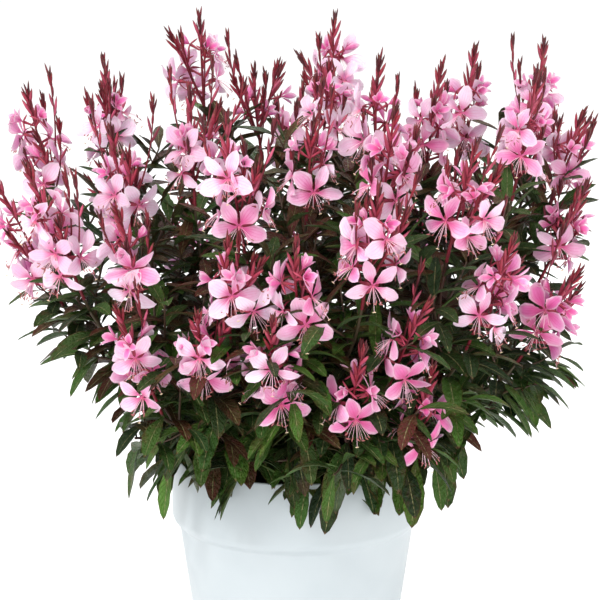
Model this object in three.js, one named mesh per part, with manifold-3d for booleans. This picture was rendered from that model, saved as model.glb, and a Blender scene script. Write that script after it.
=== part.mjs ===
// A potted gaura: a bushy perennial with narrow leaves, wiry red flower wands and butterfly-like
// pink blooms, growing in a plain white plastic pot with a deep rim band.
// Lengths are in millimetres. +Z is up, -Y is the front, and the origin is under the pot's middle.
import * as THREE from 'three';
import Module from 'manifold-3d';
import { mergeVertices } from 'three/addons/utils/BufferGeometryUtils.js';

// Driving dimensions: the pot and its soil
const GAP = 0.35; // clearance between pieces that touch
const FINEST_EDGE = 0.01; // shorter edges, left where solids meet, are closed up
const POT = {
  height: 155, wall: 2.6, floorRise: 3, sides: 28,
  rimRadius: 85, bodyTopRadius: 80, baseRadius: 65, bandHeight: 48,
  footWidth: 6, lipRound: 1.4, stepRound: 3.5,
};
const DRAIN = { count: 6, radius: 5, ring: 42, sides: 8 };
const SOIL = { edgeZ: 141, crownZ: 146 };

// Driving dimensions: stems and the shoots that sprawl over the rim from the outer stems
const STEM = { footRadius: 2.4, branchRadius: 1.6, topRadius: 1.3, buried: 22, sides: 3, branchSunk: 6 };
const STEM_STEPS = { main: 6, branch: 4, shoot: 3 };
const BRANCHING = { first: 0.5, step: 0.14 }; // where on the main line each branch leaves
const SHOOT = { leaves: 0.07, reach: 112, height: 170, swing: 24 };
const OUTER_FOOT = 30; // stems whose feet stand farther out than this are outer stems

// Driving dimensions: flower sprays, their wands and buds
const SPRAY = { below: 30, lean: 0.75, widest: 190, upright: 420, uprightSpan: 170, leastLean: 0.15 };
const WAND = { baseRadius: 1.4, tipRadius: 1.1, firstBloom: 19, bloomStep: 8, tallZ: 380 };
const SIDE_WAND = { leaves: 8, leavesStep: 6, spread: 0.42, firstBloom: 18, stalk: 24, thickAt: 5 };
const BUD = { step: 8.5, low: 15, high: 8, stand: 1.2, splay: 0.28 };

// Driving dimensions: blooms
const PETAL = { length: 17.2, width: 9.4, widestAt: 0.6, cupped: 0.5 };
const PETAL_ANGLES = [-108, -37, 37, 108];
const TUBE = { length: 10, throat: 1.5, collarBelow: 2, collar: 1.2, foot: 0.65 };
const BLOOM_FAN = [12, -62, 74, -122, 128, 4, -80]; // bearings round the wand, in turn

// Kinds of leaf: length, width, how far it starts upwards, how far it bends down, how much it
// favours the outer side of its stem, and where along it its outline turns, with its share of the
// full width there. A leaf between low and high ones is a mixture of the two.
const LEAF_KEEL = 1.3;
const LEAF_FOLD = 0.22;
const LEAF_HEIGHTS = { low: 165, high: 330 };
const STALKED = [[0.4, 0.3], [0.72, 1]];
const LONG = [[0.3, 0.62], [0.62, 1]];
const SHORT = [[0.55, 1]];
const LEAF_KINDS = {
  basal: { length: 58, width: 14.5, raise: 0.55, droop: 1.35, outwards: 0.6, stations: STALKED },
  hanging: { length: 42, width: 13.5, raise: 0.2, droop: 1.25, outwards: 0.5, stations: LONG },
  low: { length: 47, width: 14, raise: 0.35, droop: 1.15, outwards: 0.45, stations: LONG },
  high: { length: 38, width: 11, raise: 0.85, droop: 0.5, outwards: 0.45, stations: SHORT },
};

// Each leafy stem: where its foot stands in the soil (its bearing, from the front towards +X, and
// how far from the middle), and the sprays it carries: the middle of each spray's blooms, how many
// blooms it holds, and how many wands rise in it.
const STEMS = [
  { name: 'front_left', bearing: -42, foot: 33, sprays: [
    { at: [-57, -135, 252], blooms: 4, wands: 2 },
    { at: [-94, -118, 234], blooms: 5, wands: 1 },
    { at: [-100, -110, 300], blooms: 4, wands: 1 }] },
  { name: 'front', bearing: -8, foot: 34, sprays: [
    { at: [1, -160, 289], blooms: 4, wands: 1 },
    { at: [-12, -145, 236], blooms: 5, wands: 1 },
    { at: [-42, -145, 291], blooms: 4, wands: 2 }] },
  { name: 'front_right', bearing: 24, foot: 33, sprays: [
    { at: [64, -140, 251], blooms: 4, wands: 1 },
    { at: [35, -147, 227], blooms: 3, wands: 1 },
    { at: [76, -118, 202], blooms: 4, wands: 1 }] },
  { name: 'right_front', bearing: 52, foot: 33, sprays: [
    { at: [117, -120, 278], blooms: 6, wands: 2 },
    { at: [99, -130, 338], blooms: 5, wands: 2 }] },
  { name: 'right', bearing: 84, foot: 34, sprays: [
    { at: [158, -65, 254], blooms: 4, wands: 1 },
    { at: [172, -35, 304], blooms: 3, wands: 2 },
    { at: [176, 8, 243], blooms: 0, wands: 2 }] },
  { name: 'left_front', bearing: -72, foot: 32, sprays: [
    { at: [-146, -84, 304], blooms: 7, wands: 2 },
    { at: [-110, -50, 332], blooms: 5, wands: 2 }] },
  { name: 'left', bearing: -100, foot: 34, sprays: [
    { at: [-167, -32, 288], blooms: 7, wands: 2 },
    { at: [-166, 20, 338], blooms: 7, wands: 2 }] },
  { name: 'back_left', bearing: -136, foot: 33, sprays: [
    { at: [-122, 104, 300], blooms: 3, wands: 2 },
    { at: [-76, 138, 270], blooms: 3, wands: 1 }] },
  { name: 'back_right', bearing: 130, foot: 33, sprays: [
    { at: [128, 98, 300], blooms: 3, wands: 2 },
    { at: [84, 138, 266], blooms: 3, wands: 1 }] },
  { name: 'back', bearing: 176, foot: 33, sprays: [
    { at: [4, 152, 282], blooms: 3, wands: 1 },
    { at: [0, 118, 346], blooms: 3, wands: 2 }] },
  { name: 'mid_front', bearing: -4, foot: 19, sprays: [
    { at: [44, -155, 313], blooms: 6, wands: 2 },
    { at: [-36, -125, 343], blooms: 6, wands: 2 }] },
  { name: 'mid_left', bearing: -62, foot: 20, sprays: [
    { at: [-67, -40, 360], blooms: 4, wands: 2 },
    { at: [-127, 60, 359], blooms: 5, wands: 3 }] },
  { name: 'mid_back_left', bearing: -128, foot: 19, sprays: [
    { at: [-64, 60, 398], blooms: 5, wands: 2 },
    { at: [-27, 40, 378], blooms: 0, wands: 3 }] },
  { name: 'middle', bearing: 10, foot: 6, sprays: [
    { at: [8, -85, 356], blooms: 3, wands: 1 },
    { at: [19, -20, 386], blooms: 3, wands: 1 }] },
  { name: 'mid_back', bearing: 176, foot: 18, sprays: [
    { at: [27, 62, 381], blooms: 7, wands: 2 }] },
  { name: 'mid_right_front', bearing: 44, foot: 20, sprays: [
    { at: [55, -122, 358], blooms: 5, wands: 2 },
    { at: [51, -55, 376], blooms: 4, wands: 1 }] },
  { name: 'mid_back_right', bearing: 128, foot: 20, sprays: [
    { at: [112, 34, 365], blooms: 6, wands: 2 },
    { at: [88, -8, 366], blooms: 4, wands: 1 }] },
  { name: 'mid_right', bearing: 88, foot: 21, sprays: [
    { at: [146, -45, 364], blooms: 5, wands: 2 },
    { at: [160, 30, 370], blooms: 6, wands: 2 },
    { at: [177, 5, 346], blooms: 4, wands: 2 }] },
];

// Colours and gloss
const POT_WHITE = { color: 0xdde6ea, roughness: 0.45, metalness: 0 };
const SOIL_BROWN = { color: 0x2b2019, roughness: 0.95, metalness: 0 };
const LEAF_GREEN = { color: 0x34502b, roughness: 0.55, metalness: 0 };
const BLOOM_PINK = { color: 0xf08fb4, roughness: 0.6, metalness: 0 };

const wasm = await Module();
wasm.setup();
const { Manifold } = wasm;

// Small maths
const UP = new THREE.Vector3(0, 0, 1);
const DEGREES = Math.PI / 180;
const GOLDEN_ANGLE = 137.508;
const clamp01 = (value) => Math.min(1, Math.max(0, value));
const mix = (low, high, share) => low + (high - low) * share;
const across = (way, other) => new THREE.Vector3().crossVectors(way, other);

// A point or direction, with each move added to it: a direction and how far along it.
function sum(start, ...moves) {
  return moves.reduce((point, [way, far]) => point.addScaledVector(way, far), start.clone());
}

const turned = (first, second, angle) => (
  sum(new THREE.Vector3(), [first, Math.cos(angle)], [second, Math.sin(angle)]));
const squareTo = (way, axis) => sum(way, [axis, -way.dot(axis)]).normalize();
const outwardAt = (bearing) => (
  new THREE.Vector3(Math.sin(bearing * DEGREES), -Math.cos(bearing * DEGREES), 0));

// A seeded draw from 0 to 1, so that the plant grows alike each time.
function seededDraw(seed) {
  let state = seed >>> 0;
  return () => {
    state = (state + 0x6d2b79f5) >>> 0;
    let t = Math.imul(state ^ (state >>> 15), 1 | state);
    t = (t + Math.imul(t ^ (t >>> 7), 61 | t)) ^ t;
    return ((t ^ (t >>> 14)) >>> 0) / 4294967296;
  };
}

const jitter = (draw, size) => (draw() * 2 - 1) * size;

// Shapes as solids
function solidFromGeometry(geometry) {
  const bare = new THREE.BufferGeometry();
  bare.setAttribute('position', geometry.getAttribute('position').clone());
  bare.setIndex(geometry.index);
  const merged = mergeVertices(bare, 1e-3);
  const vertProperties = new Float32Array(merged.getAttribute('position').array);
  const triVerts = new Uint32Array(merged.index.array);
  return new Manifold(new wasm.Mesh({ numProp: 3, vertProperties, triVerts }));
}

function solidFromFaces(points, faces) {
  const vertProperties = new Float32Array(points.flatMap((point) => point.toArray()));
  const triVerts = new Uint32Array(faces.flat());
  return new Manifold(new wasm.Mesh({ numProp: 3, vertProperties, triVerts }));
}

// A solid's surface, with its finest edges closed up: the triangles beside them vanish.
function geometryFromSolid(solid) {
  const { numProp, vertProperties, triVerts } = solid.getMesh();
  const points = Array.from({ length: vertProperties.length / numProp }, (_, i) => (
    new THREE.Vector3().fromArray(vertProperties, i * numProp)));
  const kept = points.map((_, i) => i);
  const triangles = Array.from({ length: triVerts.length / 3 }, (_, i) => (
    Array.from(triVerts.subarray(3 * i, 3 * i + 3))));
  for (const [a, b, c] of triangles) {
    for (const [i, j] of [[a, b], [b, c], [c, a]]) {
      if (points[i].distanceTo(points[j]) < FINEST_EDGE) kept[Math.max(i, j)] = Math.min(kept[i], kept[j]);
    }
  }
  const faces = triangles.map((triangle) => triangle.map((i) => kept[i]));
  const whole = faces.filter(([a, b, c]) => a !== b && b !== c && c !== a);
  const geometry = new THREE.BufferGeometry().setFromPoints(points);
  geometry.setIndex(whole.flat());
  geometry.computeVertexNormals();
  return geometry;
}

// A skin over rings of points, which run anticlockwise seen from its far end, closed by a point or
// a flat end at either side. raised holds, for "segment,side", the point to which that face is
// drawn out; opened says which faces are left open.
function loftSkin(rings, { start = null, end = null, raised = {}, opened = {} } = {}) {
  const sides = rings[0].length;
  const points = rings.flat();
  const faces = [];
  const at = (ring, side) => ring * sides + (side % sides);
  for (let ring = 0; ring + 1 < rings.length; ring++) {
    for (let side = 0; side < sides; side++) {
      const key = `${ring},${side}`;
      const quad = [at(ring, side), at(ring, side + 1), at(ring + 1, side + 1), at(ring + 1, side)];
      if (raised[key]) {
        points.push(raised[key]);
        quad.forEach((corner, i) => faces.push([corner, quad[(i + 1) % 4], points.length - 1]));
      } else if (!opened[key]) {
        faces.push([quad[0], quad[1], quad[2]], [quad[0], quad[2], quad[3]]);
      }
    }
  }
  const closeEnd = (ring, point, isStart) => {
    if (point) points.push(point);
    const hub = point ? points.length - 1 : at(ring, 0);
    for (let side = point ? 0 : 1; side < (point ? sides : sides - 1); side++) {
      const [a, b] = [at(ring, side), at(ring, side + 1)];
      faces.push(isStart ? [b, a, hub] : [a, b, hub]);
    }
  };
  closeEnd(0, start, true);
  closeEnd(rings.length - 1, end, false);
  return { points, faces };
}

function loft(rings, options) {
  const { points, faces } = loftSkin(rings, options);
  return solidFromFaces(points, faces);
}

// A ring of points round an axis point; reference fixes which way its first point lies.
function ringRound(centre, axis, reference, radius, sides) {
  const first = squareTo(reference, axis);
  const second = across(axis, first);
  return Array.from({ length: sides }, (_, i) => (
    sum(centre, [turned(first, second, (i / sides) * 2 * Math.PI), radius])));
}

// A flower spray: where its foot stands, which way it rises, and its wands. The main wand carries
// most of the blooms; the side wands leave it by turns to the right and left.
function growSpray(spray, seed) {
  const draw = seededDraw(seed);
  const middle = new THREE.Vector3(...spray.at);
  const reach = Math.hypot(middle.x, middle.y);
  const outward = new THREE.Vector3(middle.x, middle.y, 0).divideScalar(reach);
  const sideways = across(UP, outward);
  const low = Math.min(1, Math.max(SPRAY.leastLean, (SPRAY.upright - middle.z) / SPRAY.uprightSpan));
  const lean = SPRAY.lean * (reach / SPRAY.widest) * low;
  const rise = sum(UP, [outward, lean + jitter(draw, 0.08)], [sideways, jitter(draw, 0.12)]).normalize();
  const base = sum(middle, [rise, -SPRAY.below]);
  const shared = spray.wands > 1 && spray.blooms > 3 ? Math.floor(spray.blooms / 4) : 0;
  const wands = [];
  for (let i = 0; i < spray.wands; i++) {
    const main = i === 0;
    const hand = i % 2 === 1 ? 1 : -1;
    const spread = main ? 0 : hand * (SIDE_WAND.spread + jitter(draw, 0.1));
    const tilt = main ? 0 : jitter(draw, 0.22);
    const way = sum(rise, [sideways, spread], [outward, tilt]).normalize();
    const from = main ? base : sum(base, [rise, SIDE_WAND.leaves + SIDE_WAND.leavesStep * i]);
    const blooms = main ? spray.blooms - shared : (i === 1) * shared;
    const zone = WAND.bloomStep * (main ? Math.max(1, blooms) : blooms);
    const stalk = (main ? WAND.firstBloom : SIDE_WAND.stalk) + zone;
    const budRows = main && middle.z < WAND.tallZ ? 4 : 3;
    const curl = sum(new THREE.Vector3(), [outward, jitter(draw, 3)], [sideways, jitter(draw, 4)]);
    const budStep = BUD.step * (1 + jitter(draw, 0.15));
    wands.push({ main, from, way, sideways, outward, stalk, budRows, budStep, curl, blooms });
  }
  return { base, rise, outward, sideways, wands, draw };
}

// A point on a wand: straight along the blooms, and curving over among the buds.
function wandPoint(wand, far) {
  const amongBuds = Math.max(0, far - wand.stalk) / (wand.budRows * wand.budStep);
  return sum(wand.from, [wand.way, far], [wand.curl, amongBuds ** 2]);
}

const wandLength = (wand) => wand.stalk + wand.budRows * wand.budStep;

// The three corners of a wand at a height, and the way that each of its three faces looks.
function ringAt(wand, far) {
  const radius = mix(WAND.baseRadius, WAND.tipRadius, far / wandLength(wand));
  return ringRound(wandPoint(wand, far), wand.way, wand.sideways, radius, 3);
}

function faceWay(wand, side) {
  const first = squareTo(wand.sideways, wand.way);
  return turned(first, across(wand.way, first), ((side + 0.5) / 3) * 2 * Math.PI);
}

// A bloom's growth: where on its wand, how it is turned, and how each petal lies.
function growBloom(wand, index, draw) {
  return {
    wand,
    far: (wand.main ? WAND.firstBloom : SIDE_WAND.firstBloom) + WAND.bloomStep * index,
    fan: BLOOM_FAN[index % BLOOM_FAN.length] + jitter(draw, 14),
    nod: jitter(draw, 0.25),
    size: 1 + jitter(draw, 0.08),
    cup: 0.12 + jitter(draw, 0.16),
    roll: jitter(draw, 0.25),
    petalTurn: PETAL_ANGLES.map(() => jitter(draw, 8)),
    petalLift: PETAL_ANGLES.map(() => jitter(draw, 0.14)),
  };
}

// Tries for a bloom that would touch its neighbours: turned about the wand, moved along it, held
// farther out from it, and at last a little smaller.
function* bloomTries() {
  for (const scale of [1, 0.92, 0.84, 0.76]) {
    for (const reach of [0, 4]) {
      for (const slide of [0, 3, -3]) {
        for (const turn of [0, 18, -18, 36, -36, 56, -56, 80, -80, 105, -105, 135, -135, 170]) {
          yield { turn, slide, reach, scale };
        }
      }
    }
  }
}

// The three corners of a calyx tube, in turn from its lower left.
const TUBE_ANGLES = [-120, 0, 120];

// One such corner at the tube's foot, on a face of the wand.
function footCorner(wand, side, far, angle) {
  const ring = ringAt(wand, far + Math.cos(angle) * TUBE.foot);
  const [a, b] = [ring[side], ring[(side + 1) % 3]];
  return a.clone().lerp(b, 0.5 + (Math.sin(angle) * TUBE.foot) / a.distanceTo(b));
}

// A bloom set in one of those tries: its foot on the wand, its throat, the way that it faces, and
// its upper and right sides.
function setBloom(bloom, { turn, slide, reach, scale }) {
  const { wand } = bloom;
  const angle = (bloom.fan + turn) * DEGREES;
  const outwardSquare = squareTo(wand.outward, wand.way);
  const away = turned(outwardSquare, across(wand.way, outwardSquare), angle);
  const tubeWay = sum(away, [wand.way, 0.5]).normalize();
  const side = [0, 1, 2].reduce((best, each) => (
    faceWay(wand, each).dot(away) > faceWay(wand, best).dot(away) ? each : best));
  const feet = TUBE_ANGLES.map((corner) => footCorner(wand, side, bloom.far + slide, corner * DEGREES));
  const foot = sum(new THREE.Vector3(), ...feet.map((corner) => [corner, 1 / 3]));
  const throat = sum(foot, [tubeWay, TUBE.length + reach]);
  const turnedOut = 0.45 * Math.max(0, Math.cos(angle));
  const face = sum(away, [wand.outward, turnedOut], [UP, 0.12 + bloom.nod]).normalize();
  const upright = squareTo(UP, face);
  const top = turned(upright, across(upright, face), bloom.roll);
  const right = across(top, face);
  return { side, feet, tubeWay, throat, face, top, right, size: scale * bloom.size };
}

// One bloom: four petals round the throat, and the calyx tube below, narrowing down to its foot.
// headOnly leaves out the tube, to see what the petals alone would touch.
const VALLEY_ANGLES = [180, -72, 0, 72];
const UNDER_PETAL = [0, 1, 1, 2];

function bloomSkin(bloom, set, headOnly) {
  const points = [];
  const faces = [];
  const add = (point) => points.push(point) - 1;
  const addRound = (centre, first, second, radius, angles) => (
    angles.map((angle) => add(sum(centre, [turned(first, second, angle * DEGREES), radius]))));
  const collar = sum(set.throat, [set.tubeWay, -TUBE.collarBelow]);
  const first = squareTo(set.top, set.tubeWay);
  const second = across(first, set.tubeWay);
  const feet = headOnly
    ? addRound(sum(collar, [set.tubeWay, -0.5]), first, second, TUBE.foot, TUBE_ANGLES)
    : set.feet.map(add);
  const valleys = addRound(set.throat, set.top, set.right, TUBE.throat, VALLEY_ANGLES);
  const collars = addRound(collar, first, second, TUBE.collar, TUBE_ANGLES);
  PETAL_ANGLES.forEach((petalAngle, k) => {
    const flat = turned(set.top, set.right, (petalAngle + bloom.petalTurn[k]) * DEGREES);
    const along = turned(flat, set.face, bloom.cup + bloom.petalLift[k]);
    const wide = across(flat, set.face);
    const back = across(along, wide);
    const length = PETAL.length * set.size;
    const half = (PETAL.width * set.size) / 2;
    const shoulder = sum(set.throat, [along, length * PETAL.widestAt], [back, -PETAL.cupped]);
    const one = add(sum(shoulder, [wide, -half]));
    const other = add(sum(shoulder, [wide, half]));
    const tip = add(sum(set.throat, [along, length], [back, PETAL.cupped]));
    const [from, to, under] = [valleys[k], valleys[(k + 1) % 4], collars[UNDER_PETAL[k]]];
    faces.push([from, tip, one], [from, to, tip], [to, other, tip]);
    faces.push([one, under, from], [tip, under, one], [other, under, tip], [to, under, other]);
  });
  faces.push([valleys[0], valleys[2], valleys[1]], [valleys[0], valleys[3], valleys[2]]);
  faces.push([valleys[1], collars[1], collars[0]]);
  faces.push([valleys[3], collars[2], collars[1]]);
  faces.push([valleys[0], collars[0], collars[2]]);
  for (let k = 0; k < 3; k++) {
    const next = (k + 1) % 3;
    faces.push([collars[next], feet[k], collars[k]], [collars[next], feet[next], feet[k]]);
  }
  return { points, faces, feet };
}

function bloomSolid(bloom, set, headOnly = false) {
  const { points, faces, feet } = bloomSkin(bloom, set, headOnly);
  return solidFromFaces(points, [...faces, feet]);
}

// One face of a wand along its blooms, filled in round the feet that stand on it.
function faceRoundFeet(wand, side, points, feet) {
  const right = (side + 1) % 3;
  const rim = [side, right, 3 + right, 3 + side];
  const origin = points[side];
  const over = points[right].clone().sub(origin).normalize();
  const flatten = (i) => {
    const from = points[i].clone().sub(origin);
    return new THREE.Vector2(from.dot(over), from.dot(wand.way));
  };
  const order = [...rim, ...feet.flat()];
  const triangles = THREE.ShapeUtils.triangulateShape(
    rim.map(flatten), feet.map((foot) => foot.map(flatten)));
  return triangles.map((triangle) => {
    const [a, b, c] = triangle.map((i) => order[i]);
    const [ab, ac] = [b, c].map((i) => points[i].clone().sub(points[a]));
    return across(ab, ac).dot(faceWay(wand, side)) > 0 ? [a, b, c] : [a, c, b];
  });
}

// A wand: its wiry stalk with its blooms standing on it, then rows of buds drawn out of its faces
// up to the tip.
function wandSolid(wand, blooms = []) {
  const rings = [ringAt(wand, wand.main ? 0 : SIDE_WAND.thickAt), ringAt(wand, wand.stalk)];
  const raised = {};
  for (let row = 1; row < wand.budRows; row++) {
    const low = wand.stalk + (row - 1) * wand.budStep;
    const length = mix(BUD.low, BUD.high, (row - 1) / wand.budRows);
    rings.push(ringAt(wand, low + wand.budStep));
    for (const side of [(row - 1) % 3, row % 3]) {
      raised[`${row},${side}`] = sum(
        wandPoint(wand, low + length), [faceWay(wand, side), BUD.stand + BUD.splay * length]);
    }
  }
  const opened = Object.fromEntries(blooms.map(({ set }) => [`0,${set.side}`, true]));
  const start = wand.main ? null : wand.from;
  const end = wandPoint(wand, wandLength(wand));
  const { points, faces } = loftSkin(rings, { start, end, raised, opened });
  const feetOn = [[], [], []];
  for (const { bloom, set } of blooms) {
    const made = bloomSkin(bloom, set);
    const shifted = (indices) => indices.map((i) => i + points.length);
    faces.push(...made.faces.map(shifted));
    feetOn[set.side].push(shifted(made.feet));
    points.push(...made.points);
  }
  feetOn.forEach((feet, side) => {
    if (feet.length) faces.push(...faceRoundFeet(wand, side, points, feet));
  });
  return solidFromFaces(points, faces);
}

// A leafy stem's lines are curves: the main one from the soil to the first spray, a branch from it
// to each other spray, and on the outer stems a low shoot. sway swings a line to one side.
const SWAYS = [0, 8, -8, 16, -16, 25, -25, 36, -36];

function stemCurve(from, way, goal, sway) {
  const end = sum(goal.base, [goal.rise, -GAP]);
  const far = from.distanceTo(end);
  return new THREE.CubicBezierCurve3(
    from,
    sum(from, [way, far * 0.36], [goal.sideways, sway]),
    sum(end, [goal.rise, -far * 0.3], [goal.sideways, sway]),
    end);
}

const stepsAlong = (curve, count) => Array.from({ length: count + 1 }, (_, i) => (
  { at: curve.getPoint(i / count), way: curve.getTangent(i / count) }));

function pointOnSteps(steps, t) {
  const scaled = t * (steps.length - 1);
  const i = Math.min(steps.length - 2, Math.floor(scaled));
  return {
    at: steps[i].at.clone().lerp(steps[i + 1].at, scaled - i),
    way: steps[i].way.clone().lerp(steps[i + 1].way, scaled - i).normalize(),
  };
}

// A line as a three-sided rod: sunk into the soil, or starting from a point in the line it leaves.
function rodSolid(steps, startRadius, reference, buried) {
  const last = steps.length - 1;
  const rings = steps.map(({ at, way }, i) => (
    ringRound(at, way, reference, mix(startRadius, STEM.topRadius, i / last), STEM.sides)));
  const { at, way } = steps[0];
  if (buried) {
    rings.unshift(ringRound(sum(at, [way, -STEM.buried]), way, reference, startRadius, STEM.sides));
    return loft(rings);
  }
  rings[0] = ringRound(sum(at, [way, STEM.branchSunk]), way, reference, startRadius, STEM.sides);
  return loft(rings, { start: at });
}

// Leaves: narrow blades, folded a little along the midrib, arching over and down. The lowest
// hang over the rim on long stalks; the highest are short and held up.
function growLeaf(line, place, draw) {
  const height = pointOnSteps(line.steps, place.t).at.z;
  const high = clamp01((height - LEAF_HEIGHTS.low) / (LEAF_HEIGHTS.high - LEAF_HEIGHTS.low));
  const kind = { ...LEAF_KINDS[place.kind ?? 'low'] };
  if (!place.kind) {
    for (const key of ['length', 'width', 'raise', 'droop']) {
      kind[key] = mix(kind[key], LEAF_KINDS.high[key], high);
    }
    kind.stations = high > 0.3 ? SHORT : LONG;
  }
  return {
    line, t: place.t, turn: place.turn, kind,
    size: 1 + jitter(draw, 0.12),
    raise: kind.raise + jitter(draw, 0.2),
    droop: kind.droop * (1 + jitter(draw, 0.2)),
    roll: jitter(draw, 0.45),
    wave: [0, 1, 2, 3].map(() => jitter(draw, 0.9)),
  };
}

// Tries for a leaf that would touch something: turned about the stem, moved along it, shortened.
function* leafTries() {
  for (const scale of [1, 0.9, 0.8, 0.7]) {
    for (const slide of [0, 0.03, -0.03]) {
      for (const turn of [0, 18, -18, 36, -36, 58, -58, 84, -84, 115, -115, 150, -150, 180]) {
        yield { turn, slide, scale };
      }
    }
  }
}

// A leaf set in one of those tries: its midrib, its sideways direction and its full width. It is
// turned towards the middle of a face of its stem.
const FACE_PULL = 0.36;

function setLeaf(leaf, { turn, slide, scale }) {
  const { at: foot, way } = pointOnSteps(leaf.line.steps, clamp01(leaf.t + slide));
  const first = squareTo(leaf.line.outward, way);
  const angle = (leaf.turn + turn) * DEGREES;
  const favoured = Math.atan2(Math.sin(angle), Math.cos(angle) + leaf.kind.outwards);
  const azimuth = favoured - FACE_PULL * Math.sin(3 * (favoured - Math.PI / 6));
  const away = turned(first, across(way, first), azimuth);
  const start = sum(away, [UP, leaf.raise], [way, 0.15]).normalize();
  const end = sum(start, [UP, -leaf.droop]).normalize();
  const length = leaf.kind.length * leaf.size * scale;
  const knee = sum(foot, [start, length * 0.45]);
  const curve = new THREE.QuadraticBezierCurve3(foot, knee, sum(knee, [end, length * 0.55]));
  const level = across(start, UP).normalize();
  const wide = turned(level, across(level, start), leaf.roll);
  return { curve, wide, width: leaf.kind.width * leaf.size * scale };
}

function leafSolid(leaf, set) {
  const rings = leaf.kind.stations.map(([t, share], i) => {
    const middle = set.curve.getPoint(t);
    const normal = across(set.wide, set.curve.getTangent(t)).normalize();
    const half = (set.width * share) / 2;
    const edge = (hand, wave) => (
      sum(middle, [set.wide, hand * half], [normal, half * LEAF_FOLD + wave * share]));
    return [
      edge(-1, leaf.wave[2 * i + 1]), edge(1, leaf.wave[2 * i]), sum(middle, [normal, -LEAF_KEEL])];
  });
  return loft(rings, { start: set.curve.getPoint(0), end: set.curve.getPoint(1) });
}

// Where the leaves of one line stand: the basal ones, those along it, or a shoot's.
function leafPlaces(line, outer, draw) {
  const places = [];
  const along = (from, to, count, firstTurn, kind) => {
    for (let k = 0; k < count; k++) {
      const turn = firstTurn + k * GOLDEN_ANGLE + jitter(draw, 20);
      places.push({ t: mix(from, to, k / (count - 1)), turn, kind });
    }
  };
  if (line.role === 'shoot') along(0.42, 0.98, 5, 40, 'hanging');
  if (line.role === 'branch') along(0.5, 0.9, 2, 90);
  if (line.role === 'main' && outer) {
    along(0.18, 0.95, 7, 0);
    places.push({ t: 0.09, turn: -48, kind: 'basal' }, { t: 0.12, turn: 48, kind: 'basal' });
  } else if (line.role === 'main') {
    along(0.14, 0.95, 5, 0);
  }
  return places;
}

// The pot and the soil
function latheSolid(profile) {
  const points = profile.map(([radius, z]) => new THREE.Vector2(radius, z));
  return solidFromGeometry(new THREE.LatheGeometry(points, POT.sides).rotateX(Math.PI / 2));
}

function uprightCylinder(x, y, fromZ, toZ) {
  const cylinder = new THREE.CylinderGeometry(DRAIN.radius, DRAIN.radius, toZ - fromZ, DRAIN.sides);
  cylinder.rotateX(Math.PI / 2);
  cylinder.translate(x, y, (fromZ + toZ) / 2);
  return solidFromGeometry(cylinder);
}

const bandFootZ = POT.height - POT.bandHeight;
const potFloorZ = POT.floorRise + POT.wall;
const inside = (radius) => radius - POT.wall;

function potSolid() {
  const { rimRadius, bodyTopRadius, baseRadius, footWidth, lipRound, stepRound } = POT;
  const profile = [
    [0, POT.floorRise], [baseRadius - footWidth - 2, POT.floorRise],
    [baseRadius - footWidth, 0], [baseRadius, 0],
    [bodyTopRadius, bandFootZ - 2], [rimRadius - lipRound, bandFootZ + lipRound],
    [rimRadius, bandFootZ + stepRound + lipRound],
    [rimRadius, POT.height - lipRound], [rimRadius - lipRound, POT.height],
    [inside(rimRadius) - 0.4, POT.height - 1], [inside(rimRadius), bandFootZ + stepRound + POT.wall],
    [inside(bodyTopRadius), bandFootZ], [inside(baseRadius), potFloorZ], [0, potFloorZ],
  ];
  const drains = Array.from({ length: DRAIN.count }, (_, i) => {
    const way = outwardAt(((i + 0.5) * 360) / DRAIN.count);
    return uprightCylinder(way.x * DRAIN.ring, way.y * DRAIN.ring, -1, potFloorZ + 1);
  });
  return latheSolid(profile).subtract(Manifold.union(drains));
}

function soilSolid(holes) {
  const within = (radius) => inside(radius) - GAP * 1.3;
  const profile = [
    [0, potFloorZ + GAP], [within(POT.baseRadius), potFloorZ + GAP],
    [within(POT.bodyTopRadius), bandFootZ + GAP],
    [within(POT.rimRadius) - 0.4, bandFootZ + POT.stepRound + POT.wall + GAP],
    [within(POT.rimRadius) - 0.4, SOIL.edgeZ], [0, SOIL.crownZ],
  ];
  return latheSolid(profile).subtract(Manifold.union(holes));
}

// The hole in the soil in which a stem stands, with clearance all round.
function stemHole({ at, way }, reference) {
  const rings = [-STEM.buried - 2 * GAP, 16].map((far) => (
    ringRound(sum(at, [way, far]), way, reference, STEM.footRadius + 2.2 * GAP, STEM.sides)));
  return loft(rings);
}

// Everything placed so far, so that what comes next keeps clear of every other node.
const placed = [];

function keepsClear(solid, node, ofOwn = () => false) {
  const box = solid.boundingBox();
  return placed.every((other) => {
    if (other.node === node && !ofOwn(other)) return true;
    const apart = [0, 1, 2].some((i) => (
      box.min[i] > other.box.max[i] + GAP || box.max[i] < other.box.min[i] - GAP));
    return apart || other.solid.minGap(solid, GAP) >= GAP * 0.9;
  });
}

function place(node, solid, about = {}) {
  placed.push({ node, solid, box: solid.boundingBox(), ...about });
}

// The plant's growth, stem by stem
const plants = STEMS.map((stem, index) => ({
  node: `leafy_stem_${stem.name}`,
  outer: stem.foot > OUTER_FOOT,
  stem,
  foot: sum(new THREE.Vector3(0, 0, SOIL.crownZ - 1), [outwardAt(stem.bearing), stem.foot]),
  sprays: stem.sprays.map((spray, i) => ({
    node: `flower_spray_${stem.name}_${i + 1}`,
    solids: [],
    ...growSpray(spray, 1000 + index * 17 + i * 5),
  })),
  leafDraw: seededDraw(7000 + index * 31),
  lines: [],
  solids: [],
}));

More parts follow.
